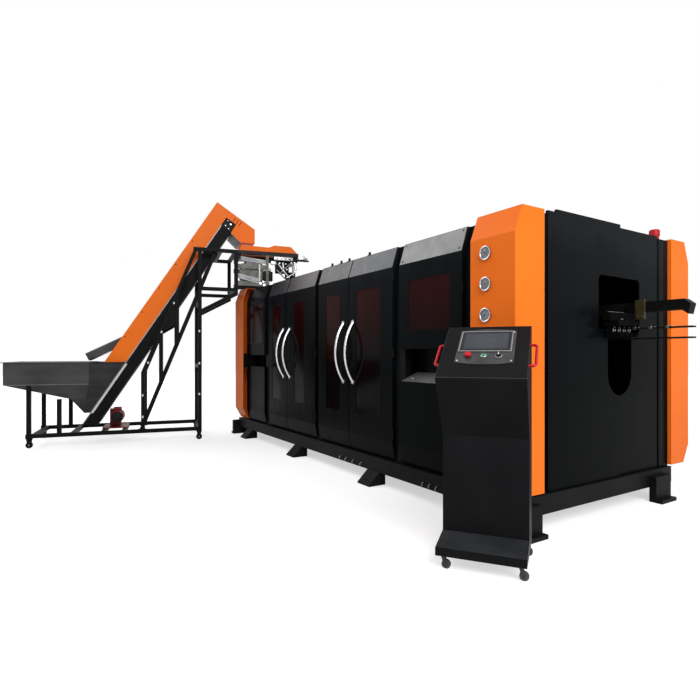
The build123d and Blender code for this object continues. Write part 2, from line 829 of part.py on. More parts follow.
far = -elevator_width
rail_top = rail_z + tube
head_z = tower_top - tube
inner_w0 = far + tube + seat
inner_w1 = -tube - seat
link_s = underside_s(link_z) + seat
saddle_s = underside_s(tower_top) + seat
hanger_ss = [link_s + count * hanger_pitch for count in range(len(hanger_feet))]
chord_run = (chord_head_s - knee_s) / (head_z - knee_z)


def chord_z(s):
    """Gives the height at which the slanted chord's lower edge passes s, less a clearance."""
    return knee_z + (s - knee_s - tube - seat) / chord_run


with BuildPart() as elevator_frame:
    for w0, w1 in ((-tube, 0.0), (far, far + tube)):
        bar(0, tower_s + tube, rail_z, rail_top, w0, w1)
        for leg_s, leg_z in leg_places:
            bar(leg_s, leg_s + tube, rail_top + seat, leg_z, w0, w1)
        # Tower and the arm under the sorter
        bar(tower_s, tower_s + tube, rail_top + seat, tower_top, w0, w1)
        for beam_z in (arm_low_z, head_z):
            bar(tower_s + tube + seat, arm_s, beam_z, beam_z + tube, w0, w1)
        bar(arm_s - tube, arm_s, arm_low_z + tube + seat, head_z - seat, w0, w1)
        slab([(tower_s + tube + seat, diagonal_z - 30), (arm_s, arm_low_z - tube), (arm_s, arm_low_z - seat),
              (arm_s - 30, arm_low_z - seat), (tower_s + tube + seat, diagonal_z + 30)], w0, w1)
        # Side truss: knee post, slanted chord, hangers down to the brace, and a gusset
        bar(knee_s, knee_s + tube, rail_top + seat, knee_z, w0, w1)
        slab([(knee_s, knee_z + seat), (knee_s + tube, knee_z + seat), (chord_head_s + tube, head_z - seat),
              (chord_head_s, head_z - seat)], w0, w1)
        bar(chord_head_s, tower_s - seat, head_z, tower_top, w0, w1)
        for hanger_s, foot_z in zip(hanger_ss, hanger_feet):
            slab([(hanger_s, foot_z), (hanger_s + tube, foot_z), (hanger_s + tube, chord_z(hanger_s + tube)),
                  (hanger_s, chord_z(hanger_s))], w0, w1)
        gusset_s0 = hanger_ss[0] + tube + seat
        gusset_s1 = hanger_ss[1] - seat
        gusset_w0 = (w0 + w1 - gusset_thickness) / 2
        slab([(gusset_s0, gusset_zs[0]), (gusset_s1, gusset_zs[1]), (gusset_s1, chord_z(gusset_s1)),
              (gusset_s0, chord_z(gusset_s0))], gusset_w0, gusset_w0 + gusset_thickness)
    # Ears of the legs, up to the hopper's side walls
    leg_s, leg_z = leg_places[0]
    ear_z = hopper_box_z - 5
    for outer_w, side in ((0, -1), (far, 1)):
        with BuildSketch(end_plane(leg_s)) as ear:
            outline([(-outer_w, leg_z + seat), (-outer_w, ear_z), (-outer_w - side * 1.2, ear_z),
                     (-outer_w - side * 28, leg_z + seat)])
        extrude(ear.sketch, amount=tube)
    # Long braces beside the truss, from the rails to the saddle
    for w0, w1 in ((-2 * tube - seat, -tube - seat), (far + tube + seat, far + 2 * tube + seat)):
        strut((brace_foot_s, rail_top + seat), (brace_head_s, head_z - seat), tube, w0, w1)
        bar(brace_foot_s - tube, brace_foot_s + tube, rail_z, rail_top, w0, w1)
        bar(brace_head_s - tube, saddle_s - seat, head_z, tower_top, w0, w1)
    # Cross tubes from side to side
    for cross_s in (60, 500, 860, 1110, tower_s):
        bar(cross_s, cross_s + tube, rail_z, rail_top, inner_w0, inner_w1)
    for cross_z in tower_tie_zs:
        bar(tower_s, tower_s + tube, cross_z, cross_z + tube, inner_w0, inner_w1)
    for cross_z in (arm_low_z, head_z):
        bar(arm_s - tube, arm_s, cross_z, cross_z + tube, inner_w0, inner_w1)
    bar(link_s, link_s + tube, link_z - tube, link_z, inner_w0, inner_w1)
    bar(saddle_s, saddle_s + tube, head_z, tower_top, inner_w0, inner_w1)
    # Casters, welded on with their wheels
    half = elevator_wheel_width / 2
    axle_z = elevator_wheel_radius
    plate_z = rail_z - caster_plate_thickness
    for caster_s in caster_ss:
        for caster_middle in (-tube / 2, far + tube / 2):
            cross_rod(caster_s, axle_z, elevator_wheel_radius, caster_middle - half, caster_middle + half)
            cross_rod(caster_s, axle_z, 6, caster_middle - half - 7, caster_middle + half + 7)
            for side in (-1, 1):
                inner = caster_middle + side * (half + 2)
                slab([(caster_s - 14, axle_z - 12), (caster_s + 14, axle_z - 12),
                      (caster_s + 34, plate_z), (caster_s - 34, plate_z)],
                     min(inner, inner + side * 4), max(inner, inner + side * 4))
            bar(caster_s - caster_plate, caster_s + caster_plate, plate_z, rail_z - seat,
                caster_middle - tube / 2, caster_middle + tube / 2)
finish(elevator_frame, "elevator_frame")

casing_w0 = -elevator_width + casing_inset
casing_w1 = -casing_inset
casing_end = (underside_s(casing_end_z), casing_end_z)
casing_head = (casing_end[0] - casing_depth * sin(slope), casing_end[1] + casing_depth * cos(slope))
with BuildPart() as elevator_casing:
    slab([(upper_s(casing_bottom_z), casing_bottom_z), (underside_s(casing_bottom_z), casing_bottom_z),
          casing_end, casing_head], casing_w0, casing_w1)
finish(elevator_casing, "elevator_casing")

cover_head = (casing_head[0] - cover_depth * sin(slope) + cover_overrun * cos(slope),
              casing_head[1] + cover_depth * cos(slope) + cover_overrun * sin(slope))
lip_z = head_bottom_z + 130
with BuildPart() as elevator_cover:
    slab([(upper_s(cover_bottom_z, cover_depth), cover_bottom_z),
          (upper_s(cover_bottom_z, seat), cover_bottom_z),
          (casing_head[0] - seat, casing_head[1]), (casing_head[0] + seat, casing_head[1] + seat),
          (casing_end[0] + seat, casing_end[1] + seat), (underside_s(lip_z) + 10, lip_z),
          (head_back_s, head_bottom_z), (head_end_s, head_bottom_z), (head_end_s, head_end_z),
          cover_head], casing_w0, casing_w1)
finish(elevator_cover, "elevator_cover")


# Hopper: a sheet box that narrows to the casing, with a funnel bottom and a rolled rim

hopper_levels = [hopper_tip[1], hopper_knee[1], hopper_box_z, hopper_rim_z]


def hopper_section(level, wall):
    """Gives the plan outline of the hopper at one of its levels, inset by a wall."""
    z = hopper_levels[level]
    foot_s = [hopper_tip[0], hopper_knee[0], hopper_s0, hopper_s0][level] + wall
    side = [casing_inset - 8, 70.0, 0.0, 0.0][level] + wall
    end_s = upper_s(z) - seat - wall / sin(slope)
    neck_s = min(hopper_neck_s, (foot_s + end_s) / 2) if level < 2 else hopper_neck_s
    throat = casing_inset + wall
    return [(foot_s, side), (neck_s, side), (end_s, throat), (end_s, elevator_width - throat),
            (neck_s, elevator_width - side), (foot_s, elevator_width - side)]


def hopper_solid(wall, lift):
    """Makes the hopper's filled form, with its walls inset and its levels lifted."""
    with BuildPart() as form:
        for level, z in enumerate(hopper_levels):
            top = level == len(hopper_levels) - 1
            with BuildSketch(plan_plane(z + (0 if top else lift))):
                outline(hopper_section(level, wall))
        loft(ruled=True)
    return form


with BuildPart() as hopper:
    add(hopper_solid(0.0, 0.0).part)
    with BuildSketch(plan_plane(hopper_rim_z - hopper_sheet)):
        outline(hopper_section(3, 0.0))
        offset(amount=rim_width, kind=Kind.INTERSECTION)
        with Locations((upper_s(hopper_rim_z - hopper_sheet) + 200 - seat, elevator_width / 2)):
            Rectangle(400, 2 * elevator_width, mode=Mode.SUBTRACT)
    extrude(amount=hopper_sheet)
    add(hopper_solid(hopper_sheet, hopper_sheet).part, mode=Mode.SUBTRACT)
finish(hopper, "hopper")


# Return chute: a folded trough from the casing back over the hopper

chute_angle = radians(chute_slope)


def chute_line(height):
    """Gives the low and high ends of a line at a height over the chute's floor."""
    low_s = chute_low[0] - height * sin(chute_angle)
    low_z = chute_low[1] + height * cos(chute_angle)
    run = (upper_s(low_z, cover_depth + seat) - low_s) / (cos(chute_angle) - sin(chute_angle) / rise)
    return (low_s, low_z), (low_s + run * cos(chute_angle), low_z + run * sin(chute_angle))


with BuildPart() as return_chute:
    floor_low, floor_high = chute_line(0)
    skin_low, skin_high = chute_line(hopper_sheet)
    edge_low, edge_high = chute_line(chute_depth)
    slab([floor_low, floor_high, skin_high, skin_low], chute_w0, chute_w1)
    for w0 in (chute_w0, chute_w1 - hopper_sheet):
        slab([floor_low, floor_high, edge_high, edge_low], w0, w0 + hopper_sheet)
finish(return_chute, "return_chute")


# Gear motor of the belt, on a plate over two cross tubes

with BuildPart() as gearmotor:
    bar(850, 1170, rail_top + seat, rail_top + 12, -660, -240)
    bar(motor_s - 110, motor_s + 30, rail_top + 12, motor_z + 80, -640, -480)
    cross_rod(motor_s, motor_z, 78, -480, -270)
    cross_rod(motor_s, motor_z, 84, -300, -230)
    fillet(gearmotor.edges().filter_by(GeomType.CIRCLE).sort_by(Axis(elevator_origin, outward))[-1], 14)
finish(gearmotor, "gearmotor")


# Sorter: two turning rollers between beams on the arm, under a hood, with its drive below

sorter_w0 = -sorter_width
sorter_s0 = arm_s + seat
roller_s0 = sorter_s0 + tube + 20
roller_s1 = sorter_s1 - tube - 20
roller_ws = [-sorter_width / 2 - roller_pitch / 2, -sorter_width / 2 + roller_pitch / 2]

with BuildPart() as sorter_frame:
    for w0 in (-tube, sorter_w0):
        bar(sorter_s0, sorter_s1, tower_top - tube, tower_top, w0, w0 + tube)
    for s0 in (sorter_s0, sorter_s1 - tube):
        bar(s0, s0 + tube, roller_z - 45, tower_top, sorter_w0 + tube + seat, -tube - seat)
    for w in roller_ws:
        long_rod(sorter_s0 - 1, sorter_s1 + 1, w, roller_z, roller_shaft_radius + shaft_clearance,
                 Mode.SUBTRACT)
finish(sorter_frame, "sorter_frame")

for roller_name, w in zip(("sorter_roller_far", "sorter_roller_near"), roller_ws):
    with BuildPart() as roller:
        long_rod(roller_s0, roller_s1, w, roller_z, roller_radius)
        long_rod(sorter_s0 + 5, sorter_s1 - 5, w, roller_z, roller_shaft_radius)
    finish(roller, roller_name)

hood_profile = [(sorter_s0 + 20, tower_top + seat), (sorter_s0 + 50, tower_top + 80),
                (hood_step_s, tower_top + 68), (hood_step_s + 80, tower_top + 104),
                (sorter_s1 - 110, tower_top + 98), (sorter_s1 - 10, tower_top + seat)]
with BuildPart() as sorter_hood:
    slab(hood_profile, sorter_w0 + 40, -20)
finish(sorter_hood, "sorter_hood")

with BuildPart() as sorter_drive:
    near_w0 = -20 - drive_depth
    far_w0 = sorter_w0 + 20
    for beam_z in drive_zs:
        for w0 in (near_w0, far_w0):
            bar(sorter_s0, drive_s1, beam_z, beam_z + drive_height, w0, w0 + drive_depth)
    bar(drive_s1 - drive_depth, drive_s1, roof_top + seat, head_z - seat, -20 + seat, -20 + drive_lug)
    bar(drive_s1 - drive_depth, drive_s1, drive_zs[0], head_z - seat, far_w0 - drive_lug, far_w0 - seat)
    bar(arm_s + 30, arm_s + 370, drive_zs[0] + drive_height + seat, drive_zs[1] - seat, near_w0, near_w0 + 10)
    bar(arm_s + 120, arm_s + 350, drive_zs[1] + drive_height + seat, drive_zs[1] + 130, -330, -25)
    cross_rod(arm_s + 88, drive_zs[1] - 80, 52, -260, near_w0 - seat)
    cross_rod(arm_s + 305, drive_zs[1] - 90, 60, -300, near_w0 - seat)
finish(sorter_drive, "sorter_drive")


# Console, drawn in its own axes: w to its right, b to its back, z up

console_right = Vector(cos(radians(console_yaw)), sin(radians(console_yaw)), 0)
console_rear = Vector(-sin(radians(console_yaw)), cos(radians(console_yaw)), 0)
console_origin = Vector(console_x, console_y, 0)


def console_side(w):
    """Gives the console's side view plane at a place across it, with x to the back."""
    return Plane(origin=console_origin + console_right * w, x_dir=console_rear, z_dir=console_right)


def console_plan(z):
    """Gives the console's plan view plane at a height, with x to its right and y to its back."""
    return Plane(origin=console_origin + Vector(0, 0, z), x_dir=console_right, z_dir=(0, 0, 1))


def console_slab(points, w0, w1, mode=Mode.ADD):
    """Adds an outline of the console's side view, filled between two places across."""
    with BuildSketch(console_side(w0)) as profile:
        outline(points)
    extrude(profile.sketch, amount=w1 - w0, mode=mode)


def console_front(b):
    """Gives the console's front view plane at a depth, with x to its right and z towards its front."""
    return Plane(origin=console_origin + console_rear * b, x_dir=console_right, z_dir=console_rear * -1)


def disc(plane, x, y, radius, height, mode=Mode.ADD):
    """Adds a round piece that stands on a plane."""
    with BuildSketch(plane) as section:
        with Locations((x, y)):
            Circle(radius)
    extrude(section.sketch, amount=height, mode=mode)


desk_edge_z = desk_front_z + desk_front_height
desk_slope = atan2(desk_top_z - desk_edge_z, desk_back)
desk_normal = console_rear * -sin(desk_slope) + Vector(0, 0, cos(desk_slope))
desk = Plane(origin=console_origin + Vector(0, 0, desk_edge_z), x_dir=console_right, z_dir=desk_normal)
half_width = console_width / 2
control_ws = [stop_w, start_w, selector_w]
start_radius = 11.0

with BuildPart() as console_body:
    console_slab([(pedestal_front, shoe_top), (pedestal_front, pedestal_knee), (0, desk_front_z),
                  (0, desk_edge_z), (desk_back, desk_top_z), (console_back, desk_top_z),
                  (console_back, shoe_top)],
                 -half_width, half_width)
    offset(amount=-console_sheet, openings=console_body.faces().sort_by(Axis.Z)[0])
    for control_at in control_ws:
        bore = (start_radius if control_at == start_w else control_radius) + control_clearance
        disc(desk, control_at, control_t, bore, -control_reach, Mode.SUBTRACT)
finish(console_body, "console_body")

with BuildPart() as console_base:
    console_slab([(0, shoe_bottom), (0, shoe_bottom + shoe_front_height), (pedestal_front, shoe_top),
                  (console_back, shoe_top), (console_back, shoe_bottom)], -half_width, half_width)
    offset(amount=-console_sheet, openings=console_base.faces().sort_by(Axis.Z)[0])
    with BuildSketch(console_plan(shoe_bottom)):
        for caster_b in caster_bs:
            for side in (-1, 1):
                with Locations((side * caster_w, caster_b)):
                    Rectangle(pad_size, pad_size)
                    Circle(caster_stem_radius + axle_clearance, mode=Mode.SUBTRACT)
    extrude(amount=pad_thickness)
finish(console_base, "console_base")

with BuildPart() as hmi_plate:
    with BuildSketch(desk) as plate:
        with BuildLine():
            ThreePointArc((plate_x0, plate_high), ((plate_x0 + plate_x1) / 2, plate_high + plate_bulge),
                          (plate_x1, plate_high))
            Line((plate_x1, plate_high), (plate_x1, plate_low))
            ThreePointArc((plate_x1, plate_low), ((plate_x0 + plate_x1) / 2, plate_low - plate_bulge),
                          (plate_x0, plate_low))
            Line((plate_x0, plate_low), (plate_x0, plate_high))
        make_face()
    extrude(amount=plate_thickness)
    disc(desk, start_w, control_t, start_radius + 4, plate_thickness + 5)
    for control_at in control_ws:
        bore = (start_radius if control_at == start_w else control_radius) + control_clearance
        disc(desk, control_at, control_t, bore, control_reach, Mode.SUBTRACT)
finish(hmi_plate, "hmi_plate")

with BuildPart() as hmi_screen:
    with BuildSketch(desk.offset(plate_thickness)):
        with Locations(((screen_x0 + screen_x1) / 2, (screen_low + screen_high) / 2)):
            RectangleRounded(screen_x1 - screen_x0, screen_high - screen_low, 6)
    extrude(amount=screen_thickness)
finish(hmi_screen, "hmi_screen")

with BuildPart() as stop_button:
    disc(desk.offset(-control_reach), stop_w, control_t, control_radius,
         control_reach + plate_thickness + stop_travel + 4)
    disc(desk.offset(plate_thickness + stop_travel + 2), stop_w, control_t, 20, 14)
    fillet(stop_button.faces().sort_by(Axis(console_origin, desk_normal))[-1].edges(), 6)
finish(stop_button, "stop_button")

with BuildPart() as start_button:
    disc(desk.offset(-control_reach), start_w, control_t, start_radius,
         control_reach + plate_thickness + 5 + start_travel + 1)
finish(start_button, "start_button")

with BuildPart() as mode_selector:
    disc(desk.offset(-control_reach), selector_w, control_t, control_radius,
         control_reach + plate_thickness + 2)
    disc(desk.offset(plate_thickness + 1), selector_w, control_t, 14, 8)
    with BuildSketch(desk.offset(plate_thickness + 9)):
        with Locations((selector_w, control_t)):
            Rectangle(8, 24)
    extrude(amount=10)
finish(mode_selector, "mode_selector")

with BuildPart() as console_handles:
    for side in (-1, 1):
        root = side * half_width
        reach = side * (half_width + console_handle_reach)
        with BuildLine(desk.offset(-console_handle_depth)) as path:
            FilletPolyline((root, console_handle_low), (reach, console_handle_low),
                           (reach, console_handle_high), (root, console_handle_high), radius=18)
        with BuildSketch(Plane(origin=path.line @ 0, z_dir=path.line % 0)):
            Circle(console_handle_radius)
        sweep()
finish(console_handles, "console_handles")

# Casters: each fork turns on its stem, each wheel on the fork's axle
cheek_b = wheel_width / 2 + cheek_gap
crown_bottom = shoe_bottom - seat - crown_thickness
caster_places = [(side * caster_w, caster_b) for caster_b in caster_bs for side in (-1, 1)]
for number, (w, b) in enumerate(caster_places, 1):
    wheel_w = w + caster_trail
    with BuildPart() as fork:
        disc(console_plan(crown_bottom), w, b, caster_stem_radius, crown_thickness + seat + pad_thickness + 8)
        disc(console_plan(crown_bottom), w, b, cheek_b + cheek_thickness, crown_thickness)
        for back_b in (b + cheek_b + cheek_thickness, b - cheek_b):
            with BuildSketch(console_front(back_b)) as cheek:
                outline([(w - 9, crown_bottom + 5), (wheel_w - 9, wheel_radius - 9),
                         (wheel_w + 9, wheel_radius - 9), (w + 11, crown_bottom + 5)])
            extrude(cheek.sketch, amount=cheek_thickness)
        disc(console_front(b + cheek_b + cheek_thickness), wheel_w, wheel_radius, axle_radius,
             2 * (cheek_b + cheek_thickness))
    finish(fork, f"console_fork_{number}")
    with BuildPart() as wheel:
        with BuildSketch(console_front(b + wheel_width / 2)) as tread:
            with Locations((wheel_w, wheel_radius)):
                Circle(wheel_radius)
                Circle(axle_radius + axle_clearance, mode=Mode.SUBTRACT)
        extrude(tread.sketch, amount=wheel_width)
        chamfer(wheel.edges().filter_by(GeomType.CIRCLE).group_by(SortBy.RADIUS)[-1], 2)
    finish(wheel, f"console_wheel_{number}")
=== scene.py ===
import json
import math

import bmesh
import bpy
from mathutils import Matrix, Vector


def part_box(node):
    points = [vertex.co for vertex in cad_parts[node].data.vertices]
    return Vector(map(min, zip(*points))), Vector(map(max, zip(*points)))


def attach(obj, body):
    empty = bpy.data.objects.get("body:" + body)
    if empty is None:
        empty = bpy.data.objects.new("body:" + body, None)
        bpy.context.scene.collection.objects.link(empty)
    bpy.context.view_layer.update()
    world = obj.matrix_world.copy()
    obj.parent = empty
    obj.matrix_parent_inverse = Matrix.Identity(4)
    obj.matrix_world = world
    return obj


# Looks of the blow moulding machine, its preform elevator and its console.
# Lengths are in metres, in the frame's own axes.

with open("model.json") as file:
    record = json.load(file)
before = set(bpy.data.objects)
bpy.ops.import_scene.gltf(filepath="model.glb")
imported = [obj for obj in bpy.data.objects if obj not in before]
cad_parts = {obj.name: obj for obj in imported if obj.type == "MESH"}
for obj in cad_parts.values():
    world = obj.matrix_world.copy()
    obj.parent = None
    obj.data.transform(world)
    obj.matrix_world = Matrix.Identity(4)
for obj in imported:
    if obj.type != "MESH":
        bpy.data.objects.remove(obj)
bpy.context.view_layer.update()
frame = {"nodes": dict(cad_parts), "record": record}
nodes = frame["nodes"]


# Places taken from the frame

right_column_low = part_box("column_front_right")[0]
left_column_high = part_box("column_front_left")[1]
end_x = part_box("outlet_end_panels")[1].x
door_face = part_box("mould_left_door")[0].y
front_y = right_column_low.y
roof_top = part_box("rear_panels")[1].z
side_axes = (1, 2, 0)


# Materials: parts of the node trees

texture_low = 0.3
texture_high = 0.7
grain_height = 0.001
upright = (1.0, 1.0, 0.12)
pane_stretch = (1.0, 1.0, 0.1)
streak_depth = 0.05
# Shares of the roof's height for the black paint: painted shade darkest up to the first, painted highlight
# from where the slanted panels begin at the second, brightest at the third
painted_shade_foot_share = 0.45
painted_highlight_shoulder_share = 0.88
painted_highlight_top_share = 0.97
# Heights between which the pane's painted red light rises
painted_red_light_low_z = 1.15
painted_red_light_high_z = 1.7


def new_material(name):
    """Makes an empty node material and gives its tree and shader."""
    material = bpy.data.materials.new(name)
    material.use_nodes = True
    tree = material.node_tree
    shader = tree.nodes["Principled BSDF"]
    return material, tree, shader


def noise(tree, scale, detail=3.0, stretch=(1, 1, 1)):
    """Gives the value of a noise in object space, stretched along the axes."""
    place = tree.nodes.new("ShaderNodeTexCoord")
    mapping = tree.nodes.new("ShaderNodeMapping")
    mapping.inputs["Scale"].default_value = stretch
    texture = tree.nodes.new("ShaderNodeTexNoise")
    texture.inputs["Scale"].default_value = scale
    texture.inputs["Detail"].default_value = detail
    tree.links.new(place.outputs["Object"], mapping.inputs["Vector"])
    tree.links.new(mapping.outputs["Vector"], texture.inputs["Vector"])
    return texture.outputs["Fac"]


def height_of(tree):
    """Gives the height of a point above the floor."""
    place = tree.nodes.new("ShaderNodeTexCoord")
    axes = tree.nodes.new("ShaderNodeSeparateXYZ")
    tree.links.new(place.outputs["Object"], axes.inputs["Vector"])
    return axes.outputs["Z"]


def ramp(tree, value, low, high, start=texture_low, end=texture_high):
    """Maps a value onto the colours between low and high."""
    node = tree.nodes.new("ShaderNodeValToRGB")
    node.color_ramp.elements[0].position = start
    node.color_ramp.elements[1].position = end
    node.color_ramp.elements[0].color = (*low, 1)
    node.color_ramp.elements[1].color = (*high, 1)
    tree.links.new(value, node.inputs["Fac"])
    return node


def map_range(tree, value, start, end, low=0.0, high=1.0):
    """Maps the values from start to end onto the numbers from low to high."""
    node = tree.nodes.new("ShaderNodeMapRange")
    node.inputs["From Min"].default_value = start
    node.inputs["From Max"].default_value = end
    node.inputs["To Min"].default_value = low
    node.inputs["To Max"].default_value = high
    tree.links.new(value, node.inputs["Value"])
    return node.outputs["Result"]


def spread(tree, texture, low, high):
    """Maps a texture's value onto a range of numbers."""
    return map_range(tree, texture, texture_low, texture_high, low, high)


def combine(tree, operation, first, second):
    """Joins two values by their sum, their product or the larger one."""
    node = tree.nodes.new("ShaderNodeMath")
    node.operation = operation
    tree.links.new(first, node.inputs[0])
    tree.links.new(second, node.inputs[1])
    return node.outputs["Value"]


def add_bump(tree, shader, texture, strength):
    """Wires a fine grain into the shader's normal."""
    bump = tree.nodes.new("ShaderNodeBump")
    bump.inputs["Strength"].default_value = strength
    bump.inputs["Distance"].default_value = grain_height
    tree.links.new(texture, bump.inputs["Height"])
    tree.links.new(bump.outputs["Normal"], shader.inputs["Normal"])


def finish_material(name, low, high, rough, metallic=0.0, specular=0.5, patch=1.2, grain=180.0,
                    bump=0.05, stretch=(1, 1, 1)):
    """Makes a finish with broad patches of colour, varied gloss and a fine grain."""
    material, tree, shader = new_material(name)
    colour = ramp(tree, noise(tree, patch, 4.0, stretch), low, high)
    tree.links.new(colour.outputs["Color"], shader.inputs["Base Color"])
    gloss = spread(tree, noise(tree, patch * 5, 5.0, stretch), *rough)
    tree.links.new(gloss, shader.inputs["Roughness"])
    shader.inputs["Metallic"].default_value = metallic
    shader.inputs["Specular IOR Level"].default_value = specular
    add_bump(tree, shader, noise(tree, grain, 2.0, stretch), bump)
    return material


def painted_shade_panel_material(name, foot, painted_highlight_shoulder, top, rough, specular):
    """Makes a black paint with painted shade that darkens it toward the floor and a painted highlight that
    pales it on the slanted panels.
    """
    material, tree, shader = new_material(name)
    height = map_range(tree, height_of(tree), 0.0, roof_top)
    streaks = spread(tree, noise(tree, 2.4, 4.0, upright), -streak_depth, streak_depth)
    # Painted shade and painted highlight: the colour follows the height, wavered by upright streaks
    level = combine(tree, "ADD", height, streaks)
    colour = ramp(tree, level, foot, top, painted_shade_foot_share, painted_highlight_top_share)
    colour.color_ramp.elements.new(painted_highlight_shoulder_share).color = (*painted_highlight_shoulder, 1)
    tree.links.new(colour.outputs["Color"], shader.inputs["Base Color"])
    gloss = spread(tree, noise(tree, 9.0, 5.0, upright), *rough)
    tree.links.new(gloss, shader.inputs["Roughness"])
    shader.inputs["Specular IOR Level"].default_value = specular
    add_bump(tree, shader, noise(tree, 260.0, 2.0), 0.03)
    return material


def glazing_material(name, low, high):
    """Makes a dark tinted sheet with faint painted red light in its upper part."""
    material, tree, shader = new_material(name)
    rise = map_range(tree, height_of(tree), painted_red_light_low_z, painted_red_light_high_z)
    painted_red_light = combine(tree, "MULTIPLY", rise, noise(tree, 3.0, 3.0, pane_stretch))
    colour = ramp(tree, painted_red_light, low, high, 0.05, 0.75)
    tree.links.new(colour.outputs["Color"], shader.inputs["Base Color"])
    shader.inputs["Roughness"].default_value = 0.12
    shader.inputs["Specular IOR Level"].default_value = 0.03
    return material


# Finishes of the record's slots

materials = {
    # black_gloss: painted shade toward the floor, painted highlight on the slanted panels
    "black_gloss": painted_shade_panel_material("black_gloss", (0.0013, 0.0018, 0.0021), (0.0042, 0.0052, 0.0064),
                                  (0.008, 0.009, 0.0105), rough=(0.2, 0.34), specular=0.02),
    # dark_glazing: a dark red tint, with painted red light in its upper part
    "dark_glazing": glazing_material("dark_glazing", (0.0026, 0.0011, 0.0012), (0.030, 0.003, 0.0035)),
}


def keep(name, low, high, rough, **finish):
    """Keeps the finish of one slot."""
    materials[name] = finish_material(name, low, high, rough, **finish)


keep("black_satin", (0.0028, 0.003, 0.0034), (0.0065, 0.0068, 0.0075), (0.46, 0.52),
     specular=0.05, patch=2.5, grain=300, bump=0.08)
keep("orange", (0.75, 0.140, 0.009), (0.83, 0.168, 0.013), (0.34, 0.46),
     specular=0.08, patch=1.1, grain=260, bump=0.04)
keep("chrome", (0.38, 0.39, 0.41), (0.55, 0.56, 0.58), (0.16, 0.26),
     metallic=1.0, patch=9, grain=300, bump=0.02)
keep("handle_steel", (0.5, 0.5, 0.52), (0.66, 0.66, 0.68), (0.2, 0.32),
     metallic=1.0, patch=8, grain=300, bump=0.03)
keep("hopper_steel", (0.026, 0.026, 0.028), (0.05, 0.05, 0.053), (0.38, 0.52),
     metallic=0.3, specular=0.2, patch=2.5, grain=160, bump=0.08, stretch=(1, 1, 3))
keep("drive_red", (0.11, 0.007, 0.007), (0.18, 0.012, 0.011), (0.35, 0.5),
     specular=0.2, patch=6, grain=200, bump=0.1)
keep("signal_red", (0.34, 0.004, 0.008), (0.44, 0.007, 0.012), (0.25, 0.35),
     specular=0.2, patch=8, grain=200, bump=0.03)
keep("signal_green", (0.012, 0.2, 0.06), (0.02, 0.28, 0.09), (0.25, 0.35),
     specular=0.2, patch=8, grain=200, bump=0.03)
keep("screen", (0.01, 0.011, 0.013), (0.02, 0.022, 0.026), (0.14, 0.2),
     specular=0.1, patch=3, grain=200, bump=0.01)
keep("steel", (0.03, 0.03, 0.032), (0.065, 0.065, 0.068), (0.34, 0.5),
     metallic=0.9, specular=0.2, patch=5, grain=220, bump=0.08)
keep("wheel_rubber", (0.05, 0.05, 0.052), (0.08, 0.08, 0.083), (0.6, 0.8),
     specular=0.1, patch=14, grain=260, bump=0.2)
keep("black_plastic", (0.004, 0.004, 0.004), (0.009, 0.009, 0.009), (0.4, 0.55),
     specular=0.08, patch=10, grain=300, bump=0.1)


# Finishes of single nodes and of added trim, each with the record's slot that it stands for

trims = {}


def keep_trim(name, slot, low, high, rough, **finish):
    """Keeps a finish together with the slot that it stands for."""
    trims[name] = (finish_material(name, low, high, rough, **finish), slot)


# A near-black that stands for painted shade, for sheets put in shaded hollows
keep_trim("painted_shade_black", "black_satin", (0.002, 0.002, 0.002), (0.004, 0.004, 0.004), (0.8, 0.9),
          specular=0.02, patch=2, grain=200, bump=0.05)
keep_trim("dark_frame", "bare_metal", (0.007, 0.007, 0.0075), (0.016, 0.016, 0.017), (0.35, 0.5),
          metallic=0.5, specular=0.1, patch=5, grain=220, bump=0.06)
keep_trim("drive_grey", "bare_metal", (0.05, 0.053, 0.048), (0.1, 0.103, 0.096), (0.4, 0.55),
          metallic=0.5, specular=0.2, patch=7, grain=220, bump=0.08)
keep_trim("panel_grey", "bare_metal", (0.035, 0.035, 0.037), (0.07, 0.07, 0.073), (0.32, 0.45),
          metallic=0.6, specular=0.2, patch=9, grain=260, bump=0.05)
# A grey for the black gloss sill: painted reflection
keep_trim("sill_painted_reflection", "black_gloss", (0.09, 0.093, 0.097), (0.17, 0.173, 0.178), (0.3, 0.45),
          metallic=0.3, specular=0.3, patch=4, grain=240, bump=0.05)
# A paler copy of the doors' black gloss for their slanted panels: painted highlight, with a stronger gloss
keep_trim("facet_painted_highlight", "black_gloss", (0.003, 0.006, 0.010), (0.007, 0.011, 0.017), (0.26, 0.36),
          specular=0.32, patch=2.2, grain=260, bump=0.03)
# A grey for the outlet door's black gloss facet plate: painted reflection, with a strong gloss
keep_trim("facet_painted_reflection", "black_gloss", (0.03, 0.032, 0.034), (0.08, 0.083, 0.086), (0.26, 0.4),
          specular=0.7, patch=2.2, grain=260, bump=0.03)
# A grey for the top of the console's black gloss shoe: painted highlight
keep_trim("shoe_painted_highlight", "black_gloss", (0.016, 0.017, 0.018), (0.036, 0.037, 0.039), (0.3, 0.45),
          metallic=0.2, specular=0.1, patch=3.2, grain=260, bump=0.03)
keep_trim("pale_edge", "bare_metal", (0.16, 0.16, 0.165), (0.27, 0.27, 0.28), (0.4, 0.55),
          metallic=0.4, patch=5, grain=220, bump=0.05)
keep_trim("bright_metal", "bare_metal", (0.34, 0.34, 0.35), (0.6, 0.6, 0.61), (0.25, 0.4),
          metallic=1.0, patch=12, grain=220, bump=0.06)
keep_trim("white_plastic", "bare_metal", (0.5, 0.5, 0.49), (0.66, 0.66, 0.64), (0.4, 0.5),
          patch=8, grain=220, bump=0.05)
keep_trim("dial", "chrome", (0.11, 0.115, 0.13), (0.2, 0.21, 0.23), (0.2, 0.3),
          patch=14, grain=200, bump=0.02)
